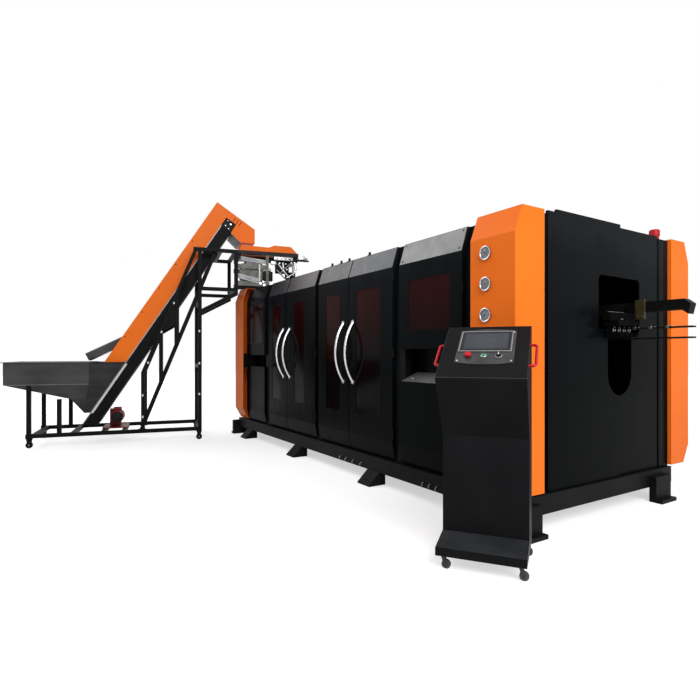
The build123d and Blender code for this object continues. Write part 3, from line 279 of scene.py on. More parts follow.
keep_trim("brass", "steel", (0.035, 0.028, 0.010), (0.06, 0.048, 0.018), (0.4, 0.5),
          metallic=0.5, patch=10, grain=200, bump=0.05)
# A grey for the screen's glass: painted reflection
keep_trim("screen_painted_reflection", "screen", (0.028, 0.031, 0.036), (0.05, 0.055, 0.063), (0.14, 0.2),
          specular=0.1, patch=6, grain=200, bump=0.01)

node_finishes = {
    "sorter_frame": "dark_frame",
    "sorter_drive": "drive_grey",
    "hmi_plate": "panel_grey",
    # the take-out carriage gets the near-black of painted shade
    "takeout_carriage": "painted_shade_black",
    "neck_rails": "dark_frame",
    # the sill plate is greyed by a painted reflection
    "sill_plate": "sill_painted_reflection",
}
node_slots = {part["node"]: part["material_slot"] for part in frame["record"]["subparts"]}
for node_name, node in nodes.items():
    node.data.materials.clear()
    if node_name in node_finishes:
        node.data.materials.append(trims[node_finishes[node_name]][0])
    else:
        node.data.materials.append(materials[node_slots[node_name]])


# Shapes of the added pieces

sharp_angle = math.radians(35)
on_axis = 1e-6
screw_root = -0.001


def add_piece(name, shape, finish, body="machine", place=Matrix.Identity(4), smooth=False):
    """Links a modelled shape as a piece that rides on a body."""
    bmesh.ops.transform(shape, matrix=place, verts=shape.verts)
    bmesh.ops.recalc_face_normals(shape, faces=shape.faces)
    mesh = bpy.data.meshes.new(name)
    shape.to_mesh(mesh)
    shape.free()
    for polygon in mesh.polygons:
        polygon.use_smooth = smooth
    material, slot = trims[finish] if finish in trims else (materials[finish], finish)
    mesh.materials.append(material)
    piece = bpy.data.objects.new(name, mesh)
    bpy.context.scene.collection.objects.link(piece)
    if smooth:
        split = piece.modifiers.new("sharp_edges", "EDGE_SPLIT")
        split.split_angle = sharp_angle
    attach(piece, body)


def box_into(shape, low, high, bevel=0.0):
    """Adds a box with softened edges to a shape."""
    middle = [(a + b) / 2 for a, b in zip(low, high)]
    size = [b - a for a, b in zip(low, high)]
    place = Matrix.Translation(middle) @ Matrix.Diagonal((*size, 1))
    made = bmesh.ops.create_cube(shape, size=1.0, matrix=place)
    if bevel:
        edges = list(dict.fromkeys(edge for vert in made["verts"] for edge in vert.link_edges))
        bmesh.ops.bevel(shape, geom=edges, offset=bevel, segments=2, affect="EDGES", profile=0.5)


def prism_into(shape, outline, depth0, depth1, frame_axes):
    """Adds a prism with a straight-sided outline in two axes, filled along the third."""
    across, up, deep = frame_axes
    rings = []
    for depth in (depth0, depth1):
        ring = []
        for a, b in outline:
            point = [0.0, 0.0, 0.0]
            point[across], point[up], point[deep] = a, b, depth
            ring.append(shape.verts.new(point))
        rings.append(ring)
    shape.faces.new(rings[0])
    shape.faces.new(rings[1])
    for index in range(len(outline)):
        follow = (index + 1) % len(outline)
        shape.faces.new((rings[0][index], rings[0][follow], rings[1][follow], rings[1][index]))


def lathe_into(shape, profile, centre, axis, steps=32):
    """Adds a turned form: radius and height pairs, swept round an axis through a centre."""
    axis = Vector(axis).normalized()
    side = axis.orthogonal().normalized()
    other = axis.cross(side)
    rings = []
    for radius, height in profile:
        base = Vector(centre) + axis * height
        if radius < on_axis:
            rings.append([shape.verts.new(base)])
            continue
        rings.append([shape.verts.new(base + (side * math.cos(turn) + other * math.sin(turn)) * radius)
                      for turn in (2 * math.pi * step / steps for step in range(steps))])
    for low, high in zip(rings, rings[1:]):
        for step in range(steps):
            follow = (step + 1) % steps
            corners = [low[step % len(low)], low[follow % len(low)], high[follow % len(high)],
                       high[step % len(high)]]
            unique = list(dict.fromkeys(corners))
            if len(unique) > 2:
                shape.faces.new(unique)


def rod_into(shape, start, end, radius, steps=16):
    """Adds a straight round rod with flat ends."""
    run = Vector(end) - Vector(start)
    lathe_into(shape, [(0, 0), (radius, 0), (radius, run.length), (0, run.length)], start, run, steps)


def screws_into(shape, places, axis, radius, height):
    """Adds domed screw heads at places on a face."""
    profile = [(0, screw_root), (radius, screw_root), (radius, height * 0.4), (radius * 0.7, height * 0.85),
               (0, height)]
    for place in places:
        lathe_into(shape, profile, place, axis, 12)


def frame_bars(left, right, low, high, outside, inside=0.0):
    """Gives the four bars of a frame round an opening, each as its two corners."""
    return [(left - outside, low - outside, right + outside, low + inside),
            (left - outside, high - inside, right + outside, high + outside),
            (left - outside, low, left + inside, high),
            (right - inside, low, right + outside, high)]


# Painted shade: black sheets in the rear column, round the preform recess and over the base, where there is
# only shade

column_gap = 0.006
shade_sheet_inset = 0.29
shade_sheet_z = (0.30, 2.05)
end_panel_depth = 0.022
recess_z = (1.0, 1.2)
recess_side_end_y = -0.801
recess_back_y = (-0.620, -0.617)
recess_back_width = 0.26
strip_depth = (0.050, 0.055)
strip_height = (0.0005, 0.0155)


def add_painted_shade_sheets():
    """Adds black sheets of painted shade inside the columns and under the doors."""
    shape = bmesh.new()
    left_x = left_column_high.x
    right_x = right_column_low.x - column_gap
    rear_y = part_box("rear_columns")[1].y - shade_sheet_inset
    base_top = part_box("base_frame")[1].z
    box_into(shape, (right_x, rear_y - 0.004, shade_sheet_z[0]),
             (end_x - end_panel_depth, rear_y - 0.001, shade_sheet_z[1]))
    box_into(shape, (left_x, front_y + 0.01, recess_z[0]), (left_x + 0.002, recess_side_end_y, recess_z[1]))
    box_into(shape, (left_x + 0.004, door_face + strip_depth[0], base_top + strip_height[0]),
             (right_x, door_face + strip_depth[1], base_top + strip_height[1]))
    box_into(shape, (left_x - recess_back_width, recess_back_y[0], recess_z[0]),
             (left_x + 0.01, recess_back_y[1], recess_z[1]))
    add_piece("painted_shade_sheets", shape, "painted_shade_black")


# Air gauges: bezel, dial, needle and the marks round the scale

gauge_x = 2.356
gauge_zs = (1.451, 1.661, 1.871)
bezel_profile = [(0.039, 0.0142), (0.0405, 0.0165), (0.044, 0.0175), (0.0475, 0.0162), (0.0485, 0.012),
                 (0.0485, 0.0), (0.039, 0.0)]
dial_profile = [(0, 0.0125), (0.02, 0.0122), (0.0392, 0.0098), (0.0392, 0.0088), (0, 0.0088)]
hub_profile = [(0, 0.0), (0.004, 0.0), (0.003, 0.0022), (0, 0.0025)]
needle_lift = 0.0132
needle_length = 0.026
needle_turn = 215
needle_turn_step = 35
scale_start = 225
scale_sweep = 270
scale_marks = 9


def needle_into(shape, hub, turn):
    """Adds a needle that points at a turn of the dial, with its hub."""
    tip = Vector((math.cos(turn), 0, math.sin(turn))) * needle_length
    rod_into(shape, hub - tip * 0.3, hub + tip, 0.0012, 8)
    lathe_into(shape, hub_profile, hub, (0, -1, 0), 16)


def scale_into(shape, hub):
    """Adds the marks round a dial."""
    for mark in range(scale_marks):
        angle = math.radians(scale_start - mark * scale_sweep / (scale_marks - 1))
        spoke = Vector((math.cos(angle), 0, math.sin(angle)))
        rod_into(shape, hub + spoke * 0.028 + Vector((0, 0.0012, 0)),
                 hub + spoke * 0.034 + Vector((0, 0.0018, 0)), 0.001, 6)


def add_gauges():
    """Adds the faces of the three gauges on the right column."""
    bezels, dials, needles = bmesh.new(), bmesh.new(), bmesh.new()
    for number, z in enumerate(gauge_zs):
        centre = (gauge_x, front_y, z)
        hub = Vector((gauge_x, front_y - needle_lift, z))
        lathe_into(bezels, bezel_profile, centre, (0, -1, 0), 48)
        lathe_into(dials, dial_profile, centre, (0, -1, 0), 40)
        needle_into(needles, hub, math.radians(needle_turn - needle_turn_step * number))
        scale_into(needles, hub)
    add_piece("gauge_bezels", bezels, "chrome", smooth=True)
    add_piece("gauge_dials", dials, "dial", smooth=True)
    add_piece("gauge_needles", needles, "black_plastic")


# Roof edge: small lifting lugs behind the doors' facets

lug_xs = (-0.02, 0.17, 0.33, 0.70)
lug_foot_half = 0.018
lug_foot_y = (-0.74, -0.70)
lug_eye_half = 0.012
lug_eye_y = (-0.73, -0.71)


def add_roof_lugs():
    """Adds the lugs, each a foot with an upright eye."""
    shape = bmesh.new()
    for x in lug_xs:
        box_into(shape, (x - lug_foot_half, lug_foot_y[0], roof_top - 0.001),
                 (x + lug_foot_half, lug_foot_y[1], roof_top + 0.02), 0.003)
        box_into(shape, (x - lug_eye_half, lug_eye_y[0], roof_top + 0.018),
                 (x + lug_eye_half, lug_eye_y[1], roof_top + 0.05), 0.006)
    add_piece("roof_lugs", shape, "black_plastic")


# Door furniture: hinge knuckles and a lock on the sill

hinge_sides = (("oven_left_door", 0), ("oven_right_door", 1), ("mould_left_door", 0),
               ("mould_right_door", 1), ("outlet_door", 1))
hinge_shares = (0.12, 0.5, 0.86)
hinge_top_z = 1.9
knuckle_half = 0.04
lock_place = (1.44, door_face + 0.055, 0.9835)
lock_axis = (0, -0.4, 0.92)
lock_profile = [(0, 0), (0.013, 0), (0.013, 0.007), (0.010, 0.010), (0.004, 0.010), (0.004, 0.008),
                (0, 0.008)]


def add_hinge_knuckles():
    """Adds the knuckles along the outer edge of each door."""
    knuckles = bmesh.new()
    y = door_face + 0.006
    for node_name, side in hinge_sides:
        low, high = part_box(node_name)
        x = (low.x + 0.001, high.x - 0.001)[side]
        for share in hinge_shares:
            z = low.z + share * (high.z - low.z)
            if z < hinge_top_z:
                rod_into(knuckles, (x, y, z - knuckle_half), (x, y, z + knuckle_half), 0.0055, 12)
    add_piece("hinge_knuckles", knuckles, "black_plastic", smooth=True)


def add_sill_lock():
    """Adds the round lock on the sloped sill."""
    lock = bmesh.new()
    lathe_into(lock, lock_profile, lock_place, lock_axis, 24)
    add_piece("sill_lock", lock, "bright_metal", smooth=True)


# Infeed cover: a raised frame round its inspection window

window_z = (1.345, 1.87)
window_margins = (0.07, 0.06)
window_trim = 0.008


def add_infeed_window():
    """Adds the pane of the infeed cover and the trim round it."""
    low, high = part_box("infeed_cover")
    x0, x1 = low.x + window_margins[0], high.x - window_margins[1]
    z0, z1 = window_z
    glass, trim = bmesh.new(), bmesh.new()
    box_into(glass, (x0, door_face - 0.003, z0), (x1, door_face + 0.001, z1), 0.001)
    for bar in frame_bars(x0, x1, z0, z1, window_trim):
        box_into(trim, (bar[0], door_face - 0.005, bar[1]), (bar[2], door_face + 0.001, bar[3]), 0.0015)
    add_piece("infeed_window_glass", glass, "dark_glazing")
    add_piece("infeed_window_trim", trim, "black_plastic")


# Doors: a skin on each slanted panel, paled by a painted highlight; on the outlet door a plate with corner
# screws, paled by a painted reflection

facet_bottom = 1.944
facet_depth = 0.060
facet_margin = 0.004
facet_lift = 0.0003
skin = 0.0008
facet_skins = (
    ("oven_left_door", "oven_left", "facet_painted_highlight"),
    ("oven_right_door", "oven_right", "facet_painted_highlight"),
    ("mould_left_door", "mould_left", "facet_painted_highlight"),
    ("mould_right_door", "mould_right", "facet_painted_highlight"),
    ("outlet_door", "outlet_door_leaf", "facet_painted_reflection"),
)


def add_facets():
    """Adds the skin of each slanted panel and the screws of the outlet door's plate."""
    screws = bmesh.new()
    for node_name, body, finish in facet_skins:
        low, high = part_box(node_name)
        run = Vector((0, facet_depth, high.z - facet_bottom))
        along = run.normalized()
        out = Vector((0, -along.z, along.y))
        foot = Vector((0, door_face, facet_bottom))
        start = foot + along * facet_margin + out * facet_lift
        end = foot + run - along * facet_margin + out * facet_lift
        corners = (start, end, end + out * skin, start + out * skin)
        plate = bmesh.new()
        prism_into(plate, [(corner.y, corner.z) for corner in corners], low.x + facet_margin,
                   high.x - facet_margin, side_axes)
        add_piece(f"{body}_facet", plate, finish, body)
        if node_name == "outlet_door":
            for x in (low.x + 0.035, high.x - 0.035):
                for spot in (start + along * 0.025, end - along * 0.02):
                    screws_into(screws, [Vector((x, spot.y, spot.z)) + out * skin], out, 0.007, 0.004)
    add_piece("facet_screws", screws, "black_plastic", "outlet_door_leaf")


# Base: small hooks along the front beam

hook_xs = (0.36, 0.47, 0.60, 0.74, 1.64, 1.72, 1.80)
hook_radius = 0.004


def add_base_hooks():
    """Adds the hooks, each a short arm with a bent tip."""
    hooks = bmesh.new()
    y = door_face - 0.001
    for x in hook_xs:
        bend = (x, y - 0.02, 0.150)
        rod_into(hooks, (x, y, 0.160), bend, hook_radius, 10)
        rod_into(hooks, bend, (x + 0.008, y - 0.026, 0.132), hook_radius, 10)
    add_piece("base_hooks", hooks, "pale_edge", smooth=True)


# Bottle outlet: carriage bracket, gripper tips, rail clips and a grey strip on the end wall for a panel
# seam's painted highlight

bracket_low = (2.652, 0.393, 1.452)
bracket_high = (2.726, 0.4085, 1.598)
bracket_screw_xs = (2.672, 2.706)
bracket_screw_z = 1.475
jaw_x = 2.648
jaw_first_y = 0.121
jaw_pitch = 0.066
jaw_count = 4
finger_gap = 0.012
finger_z = (1.352, 1.372)
finger_cap_profile = [(0, 0), (0.0065, 0), (0.0065, 0.003), (0.004, 0.005), (0, 0.005)]
jaw_strips = ((0.13, 1.43, 0.05), (0.21, 1.445, 0.03), (0.27, 1.425, 0.06))
clip_xs = (2.62, 2.74, 2.86)
clip_ys = (0.418, 0.4645)
clip_length = 0.022
clip_z = (1.377, 1.3885, 1.396)
# A panel seam on the end wall, drawn as a grey strip of painted highlight
seam_highlight_y = (0.9445, 0.9457)
seam_highlight_z = (0.30, 2.14)


def add_carriage_bracket():
    """Adds the brass bracket of the take-out carriage and its screws."""
    bracket = bmesh.new()
    spots = [(x, bracket_low[1], bracket_screw_z) for x in bracket_screw_xs]
    screws_into(bracket, spots, (0, -1, 0), 0.007, 0.005)
    box_into(bracket, bracket_low, bracket_high, 0.003)
    add_piece("carriage_bracket", bracket, "brass", "carriage")


def add_gripper_tips():
    """Adds the fingers, caps and small strips of the four jaws."""
    grips = bmesh.new()
    jaw_ys = [jaw_first_y + jaw_pitch * jaw for jaw in range(jaw_count)]
    for jaw, y in enumerate(jaw_ys):
        for finger in (-finger_gap, finger_gap):
            rod_into(grips, (jaw_x, y + finger, finger_z[0]), (jaw_x, y + finger, finger_z[1]), 0.004, 12)
            lathe_into(grips, finger_cap_profile, (jaw_x + 0.002, y + finger, 1.362 + 0.006 * (jaw % 2)),
                       (1, 0, 0), 16)
    for y in jaw_ys:
        box_into(grips, (jaw_x + 0.0005, y - 0.005, 1.382), (jaw_x + 0.006, y + 0.005, 1.388), 0.0015)
    for y, z, length in jaw_strips:
        box_into(grips, (jaw_x + 0.0005, y, z), (jaw_x + 0.0035, y + length, z + 0.005), 0.001)
    carriage_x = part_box("takeout_carriage")[0].x
    box_into(grips, (carriage_x + 0.02, 0.1, 1.4975), (carriage_x + 0.035, 0.3, 1.502), 0.002)
    add_piece("gripper_tips", grips, "pale_edge", "carriage", smooth=True)


def add_rail_clips():
    """Adds the clips that hold the neck rails, each a foot with a narrower head."""
    clips = bmesh.new()
    foot_z, head_z, top_z = clip_z
    for x in clip_xs:
        for y in clip_ys:
            box_into(clips, (x, y, foot_z), (x + clip_length, y + 0.0175, head_z), 0.002)
            box_into(clips, (x, y + 0.004, head_z), (x + clip_length, y + 0.0135, top_z), 0.002)
    add_piece("rail_clips", clips, "bright_metal")


def add_end_wall_seam_highlight():
    """Adds a thin upright grey strip on the bottle end's wall: a real panel seam, with the highlight on its
    edge painted in.
    """
    bead = bmesh.new()
    box_into(bead, (end_x - 0.0115, seam_highlight_y[0], seam_highlight_z[0]), (end_x - 0.003, seam_highlight_y[1], seam_highlight_z[1]))
    add_piece("end_wall_seam_highlight", bead, "drive_grey")


# Preform elevator, drawn in its own axes: w across, s along the base, z up

elevator_yaw = math.radians(12.33)
elevator_origin = Vector((-2.817, -3.565, 0.0))
elevator_place = Matrix((
    (math.cos(elevator_yaw), math.sin(elevator_yaw), 0, elevator_origin.x),
    (-math.sin(elevator_yaw), math.cos(elevator_yaw), 0, elevator_origin.y),
    (0, 0, 1, 0),
    (0, 0, 0, 1),
))
casing_slope = math.radians(57.3)
casing_foot_s = 0.450
casing_depth = 0.165
casing_end_z = 3.101
casing_near_w = -0.2
casing_far_w = -0.7
cover_depth = 0.224
cover_foot_z = 1.125
slope_along = Vector((0, math.cos(casing_slope), math.sin(casing_slope)))
slope_out = Vector((0, -math.sin(casing_slope), math.cos(casing_slope)))


def on_casing(z, height=0.0):
    """Gives s where a line over the casing's upper face passes a height above the floor."""
    return casing_foot_s + z / math.tan(casing_slope) - height / math.sin(casing_slope)


def slanted_strip(z0, z1, height0, height1):
    """Gives the side outline of a strip that runs along the casing."""
    return [(on_casing(z0, height0), z0), (on_casing(z0, height1), z0), (on_casing(z1, height1), z1),
            (on_casing(z1, height0), z1)]


# Belt casing: flanges, tensioner plates at the upper end, bolts and rivets

flange_width = 0.012
flange_thick = 0.004
flange_z = (0.26, 3.08)
tensioner_thick = 0.008
tensioner_corners = ((-0.15, 0.004), (-0.15, casing_depth - 0.004), (-0.004, casing_depth - 0.004),
                     (-0.004, 0.004))
tensioner_nuts = ((-0.05, 0.06, 0.016), (-0.11, 0.11, 0.011), (-0.12, 0.05, 0.009), (-0.03, 0.12, 0.009))
fastener_count = 16
fastener_rise = 3.0
fastener_start = 0.35
fastener_margin = 0.5
rivet_z = (1.25, 3.2)


def add_casing_flange():
    """Adds the pale flange along the lower edge of both sides."""
    flange = bmesh.new()
    outline = slanted_strip(*flange_z, -flange_width, 0.0)
    prism_into(flange, outline, casing_near_w, casing_near_w + flange_thick, side_axes)
    prism_into(flange, outline, casing_far_w - flange_thick, casing_far_w, side_axes)
    add_piece("casing_flange", flange, "pale_edge", place=elevator_place)


def add_belt_tensioner():
    """Adds the tensioner plates on both sides of the casing's upper end, with their nuts."""
    plates, nuts = bmesh.new(), bmesh.new()
    end = Vector((casing_near_w, on_casing(casing_end_z, -casing_depth), casing_end_z))
    for face_w, side in ((casing_near_w, 1), (casing_far_w, -1)):
        outer_w = face_w + side * tensioner_thick
        corners = [end + slope_along * along + slope_out * out for along, out in tensioner_corners]
        prism_into(plates, [(corner.y, corner.z) for corner in corners], face_w, outer_w, side_axes)
        for along, out, radius in tensioner_nuts:
            spot = end + slope_along * along + slope_out * out
            screws_into(nuts, [Vector((outer_w, spot.y, spot.z))], (side, 0, 0), radius, 0.01)
    add_piece("belt_tensioner", plates, "black_plastic", place=elevator_place)
    add_piece("tensioner_nuts", nuts, "bright_metal", place=elevator_place, smooth=True)


def add_casing_fasteners():
    """Adds the row of bolts along the casing and every second one's rivet on the cover."""
    bolts, rivets = bmesh.new(), bmesh.new()
    foot = Vector((casing_near_w, on_casing(0.0), 0))
    length = fastener_rise / math.sin(casing_slope)
    for step in range(fastener_count):
        reach = fastener_start + step * (length - fastener_margin) / (fastener_count - 1)
        spot = foot + slope_along * reach
        rivet = spot + slope_out * (cover_depth - 0.03)
        if step % 2 == 0 and rivet_z[0] < rivet.z < rivet_z[1]:
            screws_into(rivets, [rivet], (1, 0, 0), 0.008, 0.005)
        screws_into(bolts, [spot - slope_out * (casing_depth - 0.02)], (1, 0, 0), 0.007, 0.005)
    add_piece("casing_bolts", bolts, "black_plastic", place=elevator_place)
    add_piece("cover_rivets", rivets, "black_plastic", place=elevator_place)


# Hopper and cover: the hopper's flange and beads, the skirt under the cover's foot

hopper_flange_z = (0.40, 1.06)
skirt_foot_z = 1.045
skirt_thick = 0.003
skirt_gap = 0.0005
rim_z = 1.085
rim_height = 0.005
rim_s = (-0.262, 0.742)
rim_near_w = (-0.004, 0.0225)
rim_far_w = (-0.9225, -0.896)
rim_end_width = 0.024
crease_z = 0.800
crease_end_s = 0.716


def add_hopper_flange():
    """Adds the white strip where the hopper's neck meets the casing."""
    flange = bmesh.new()
    outline = slanted_strip(*hopper_flange_z, -0.034, -flange_width)
    prism_into(flange, outline, casing_near_w + 0.0005, casing_near_w + 0.006, side_axes)
    add_piece("hopper_flange", flange, "white_plastic", place=elevator_place)


def add_cover_skirt():
    """Adds the orange skirt that carries the cover down over the hopper's neck."""
    skirt = bmesh.new()
    near_w = casing_near_w - skirt_thick - skirt_gap
    far_w = casing_far_w + skirt_thick + skirt_gap
    side = slanted_strip(skirt_foot_z, cover_foot_z, skirt_thick, cover_depth)
    front = slanted_strip(skirt_foot_z, cover_foot_z, cover_depth - skirt_thick, cover_depth)
    prism_into(skirt, side, near_w, casing_near_w - skirt_gap, side_axes)
    prism_into(skirt, side, casing_far_w + skirt_gap, far_w, side_axes)
    prism_into(skirt, front, far_w, near_w, side_axes)
    add_piece("cover_skirt", skirt, "orange", place=elevator_place)


def add_hopper_beads():
    """Adds the pale bead round the hopper's rim and the crease on its near wall."""
    seam = bmesh.new()
    s0, s1 = rim_s
    top_z = rim_z + rim_height
    for w0, w1 in (rim_near_w, rim_far_w):
        box_into(seam, (w0, s0, rim_z), (w1, s1, top_z), 0.002)
    box_into(seam, (rim_far_w[0], s0, rim_z), (rim_near_w[1], s0 + rim_end_width, top_z), 0.002)
    box_into(seam, (0.0003, s0 + 0.02, crease_z - 0.002), (0.0025, crease_end_s, crease_z + 0.002), 0.001)
    add_piece("hopper_rim_bead", seam, "pale_edge", place=elevator_place)


# Return chute, cover slots, discharge sheet and cable clips

chute_low = (0.683, 1.105)
chute_slope = math.radians(27.2)
chute_depth = 0.100
chute_near_w = -0.3
chute_far_w = -0.6
chute_wall = 0.006
chute_edge_height = 0.007
slot_s = 2.595
slot_z = 3.140
slot_steps = (0.042, 0.027)
slot_run = (0.035, 0.054)
head_back = (2.700, 2.840)
lip_z = 2.970
sheet_thick = 0.004
cable_spots = ((1.36, 0.33), (1.36, 0.62), (1.43, 1.06), (1.60, 1.48), (1.76, 1.88), (2.095, 0.62),
                    (2.095, 1.05), (2.095, 1.5))
cable_w = (-0.001, 0.007)
cable_size = (0.022, 0.03)


def add_chute_edge():
    """Adds the pale rolled edge along both walls of the return chute."""
    edge = bmesh.new()
    rise, run = math.sin(chute_slope), math.cos(chute_slope)
    low = Vector((chute_low[0] - chute_depth * rise, chute_low[1] + chute_depth * run))
    reach = on_casing(low.y, cover_depth) - low.x
    length = reach / (run - rise / math.tan(casing_slope)) - 0.004
    along = Vector((run, rise))
    up = Vector((-along.y, along.x)) * chute_edge_height
    high = low + along * length
    outline = [tuple(point) for point in (low, high, high + up, low + up)]
    for wall_w in (chute_near_w, chute_far_w + chute_wall):
        prism_into(edge, outline, wall_w - chute_wall, wall_w, side_axes)
    add_piece("chute_edges", edge, "pale_edge", place=elevator_place)


def add_cover_slots():
    """Adds the short slots pressed into the cover beside the belt tensioner."""
    slots = bmesh.new()
    w = casing_near_w + 0.0015
    for step in range(3):
        s, z = slot_s + slot_steps[0] * step, slot_z - slot_steps[1] * step
        rod_into(slots, (w, s, z), (w, s + slot_run[0], z + slot_run[1]), 0.005, 8)
    add_piece("cover_slots", slots, "drive_red", place=elevator_place)


def add_discharge_sheet():
    """Adds the grey sheet under the head, where the preforms fall out."""
    sheet = bmesh.new()
    top = (on_casing(lip_z, -casing_depth) + 0.010, lip_z)
    run = Vector((head_back[0] - top[0], head_back[1] - top[1]))
    drop = Vector((run.y, -run.x)).normalized() * sheet_thick
    outline = [top, head_back, (head_back[0] + drop.x, head_back[1] + drop.y),
               (top[0] + drop.x, top[1] + drop.y)]
    prism_into(sheet, outline, casing_far_w, casing_near_w, side_axes)
    add_piece("discharge_sheet", sheet, "drive_grey", place=elevator_place)


def add_cable_clips():
    """Adds the small pale clips along the braces and up the tower."""
    clips = bmesh.new()
    for s, z in cable_spots:
        high = (cable_w[1], s + cable_size[0], z + cable_size[1])
        box_into(clips, (cable_w[0], s, z), high, 0.002)
    add_piece("cable_clips", clips, "white_plastic", place=elevator_place)


# Gear motor: end cap, cooling fins and terminal box

motor_s = 1.035
motor_z = 0.335
motor_cap_w = -0.2295
motor_cap_profile = [(0, 0.0), (0.066, 0.0), (0.07, 0.006), (0.07, 0.018), (0.06, 0.028), (0.03, 0.032),
                     (0, 0.032)]
fin_profile = [(0.0775, 0), (0.086, 0), (0.086, 0.004), (0.0775, 0.004)]
fin_first_w = -0.465
fin_pitch = 0.0115
fin_count = 14
terminal_box = ((-0.43, 0.985, 0.405), (-0.33, 1.085, 0.455))


def add_gearmotor_end():
    """Adds the motor's cap, its fins and the terminal box on top."""
    cap, ribs = bmesh.new(), bmesh.new()
    lathe_into(cap, motor_cap_profile, (motor_cap_w, motor_s, motor_z), (1, 0, 0), 40)
    for step in range(fin_count):
        lathe_into(ribs, fin_profile, (fin_first_w + step * fin_pitch, motor_s, motor_z), (1, 0, 0), 40)
    box_into(ribs, *terminal_box, 0.006)
    add_piece("gearmotor_cap", cap, "black_plastic", place=elevator_place, smooth=True)
    add_piece("gearmotor_fins", ribs, "drive_red", place=elevator_place, smooth=True)


# Elevator casters: hub caps and a pale tread

caster_s = (0.04, 2.104)
caster_w = (-0.025, -0.875)
caster_z = 0.04
tread_z = 0.0402
hub_cap_profile = [(0, 0), (0.009, 0), (0.009, 0.004), (0.006, 0.007), (0, 0.007)]
tread_profile = [(0.0395, 0), (0.0402, 0.003), (0.0402, 0.021), (0.0395, 0.024)]


def add_caster_wheels():
    """Adds the hub caps and treads of the elevator's four casters."""
    hubs = bmesh.new()
    for s in caster_s:
        for w in caster_w:
            for side in (-1, 1):
                lathe_into(hubs, hub_cap_profile, (w + side * 0.0205, s, caster_z), (side, 0, 0), 12)
            lathe_into(hubs, tread_profile, (w - 0.012, s, tread_z), (1, 0, 0), 32)
    add_piece("elevator_wheel_treads", hubs, "pale_edge", place=elevator_place, smooth=True)


# Sorter, from its near beam: each box has its depth, its reach along the base, its heights
# and its softened edge; each strut has its two ends in the side view and its radius

sorter_w = -0.02
upper_profile = ((2.68, 2.546), (3.07, 2.506), 0.06)
lower_profile = ((2.642, 2.288), (2.95, 2.222), 0.07)
profile_ribs = 3
rib_share = 0.68
hood_column = (-0.03, 2.72, (2.42, 2.505), 0.028)
hood_bracket = ((-0.045, -0.035), (2.76, 2.90), (2.36, 2.44), 0.002)
end_stop = ((-0.04, -0.01), (3.64, 3.68), (2.612, 2.64), 0.004)
pale_struts = (((3.25, 2.38), (3.40, 2.53), 0.009), ((3.45, 2.54), (3.46, 2.36), 0.014),
               ((3.21, 2.44), (3.34, 2.31), 0.010))
sorter_motor_cap = ((-0.09, -0.02), (3.02, 3.13), (2.41, 2.465), 0.02)
slotted_rail = ((-0.01, 0.006), (3.165, 3.45), (2.58, 2.63), 0.004)
rail_joint = ((-0.04, 0.004), (3.12, 3.2), (2.505, 2.565), 0.01)
end_sensor = ((-0.05, 0.0), (3.535, 3.64), (2.605, 2.665), 0.008)
roller_caps = ((2.965, 2.225, 0.024), (3.005, 2.25, 0.018), (3.02, 2.205, 0.026), (3.065, 2.235, 0.022),
               (3.085, 2.2, 0.018))
bright_struts = (((3.23, 2.53), (3.40, 2.33), 0.013), ((3.36, 2.33), (3.50, 2.42), 0.012),
                 ((3.30, 2.55), (3.31, 2.47), 0.016), ((3.48, 2.57), (3.50, 2.44), 0.018))
clamp_spots = ((3.25, 2.54), (3.34, 2.53), (3.43, 2.55), (3.36, 2.45))
valve_block = ((-0.042, -0.03), (2.80, 2.93), (2.43, 2.50), 0.002)
sorter_motor = ((-0.10, -0.012), (3.0, 3.15), (2.27, 2.41), 0.01)
rail_slots = (3.2, 3.26, 3.32, 3.38)
upper_guard = ((-0.07, -0.045), (3.19, 3.4), (2.39, 2.575), 0.01)
lower_guard = ((-0.07, -0.045), (3.34, 3.5), (2.31, 2.42), 0.01)
roller_block = ((-0.03, -0.009), (2.95, 3.10), (2.178, 2.25), 0.004)
dark_strut = ((3.27, 2.50), (3.44, 2.36), 0.012)
sensor_foot = ((-0.045, -0.005), (3.45, 3.70), (2.585, 2.605), 0.003)
guide_post = ((-0.012, 0.006), (2.94, 2.962), (2.255, 2.505), 0.002)


def fitting_into(shape, depths, reach, heights, bevel):
    """Adds a box of the sorter, placed from its near beam."""
    low, high = zip(depths, reach, heights)
    box_into(shape, (sorter_w + low[0], *low[1:]), (sorter_w + high[0], *high[1:]), bevel)


def strut_into(shape, start, end, radius):
    """Adds a round strut or cylinder of the sorter."""
    rod_into(shape, (sorter_w - 0.025, *start), (sorter_w - 0.025, *end), radius, 16)


def slanted_profile(shape, start, end, height):
    """Adds a grooved aluminium profile between two points of the side view."""
    rib = height / profile_ribs
    for number in range(profile_ribs):
        low = number * rib
        high = low + rib * rib_share
        outline = [(start[0], start[1] + low), (end[0], end[1] + low), (end[0], end[1] + high),
                   (start[0], start[1] + high)]
        prism_into(shape, outline, sorter_w - 0.004, sorter_w + 0.006, side_axes)
    back = [start, end, (end[0], end[1] + height), (start[0], start[1] + height)]
    prism_into(shape, back, sorter_w - 0.012, sorter_w - 0.003, side_axes)


def add_sorter_profiles():
    """Adds the pale profiles, the hood's column and bracket, and the slim struts."""
    pale = bmesh.new()
    slanted_profile(pale, *upper_profile)
    slanted_profile(pale, *lower_profile)
    depth, s, (low, high), radius = hood_column
    rod_into(pale, (sorter_w + depth, s, low), (sorter_w + depth, s, high), radius, 24)
    for strut in pale_struts:
        strut_into(pale, *strut)
    fitting_into(pale, *hood_bracket)
    fitting_into(pale, *end_stop)
    add_piece("sorter_profiles", pale, "pale_edge", place=elevator_place)


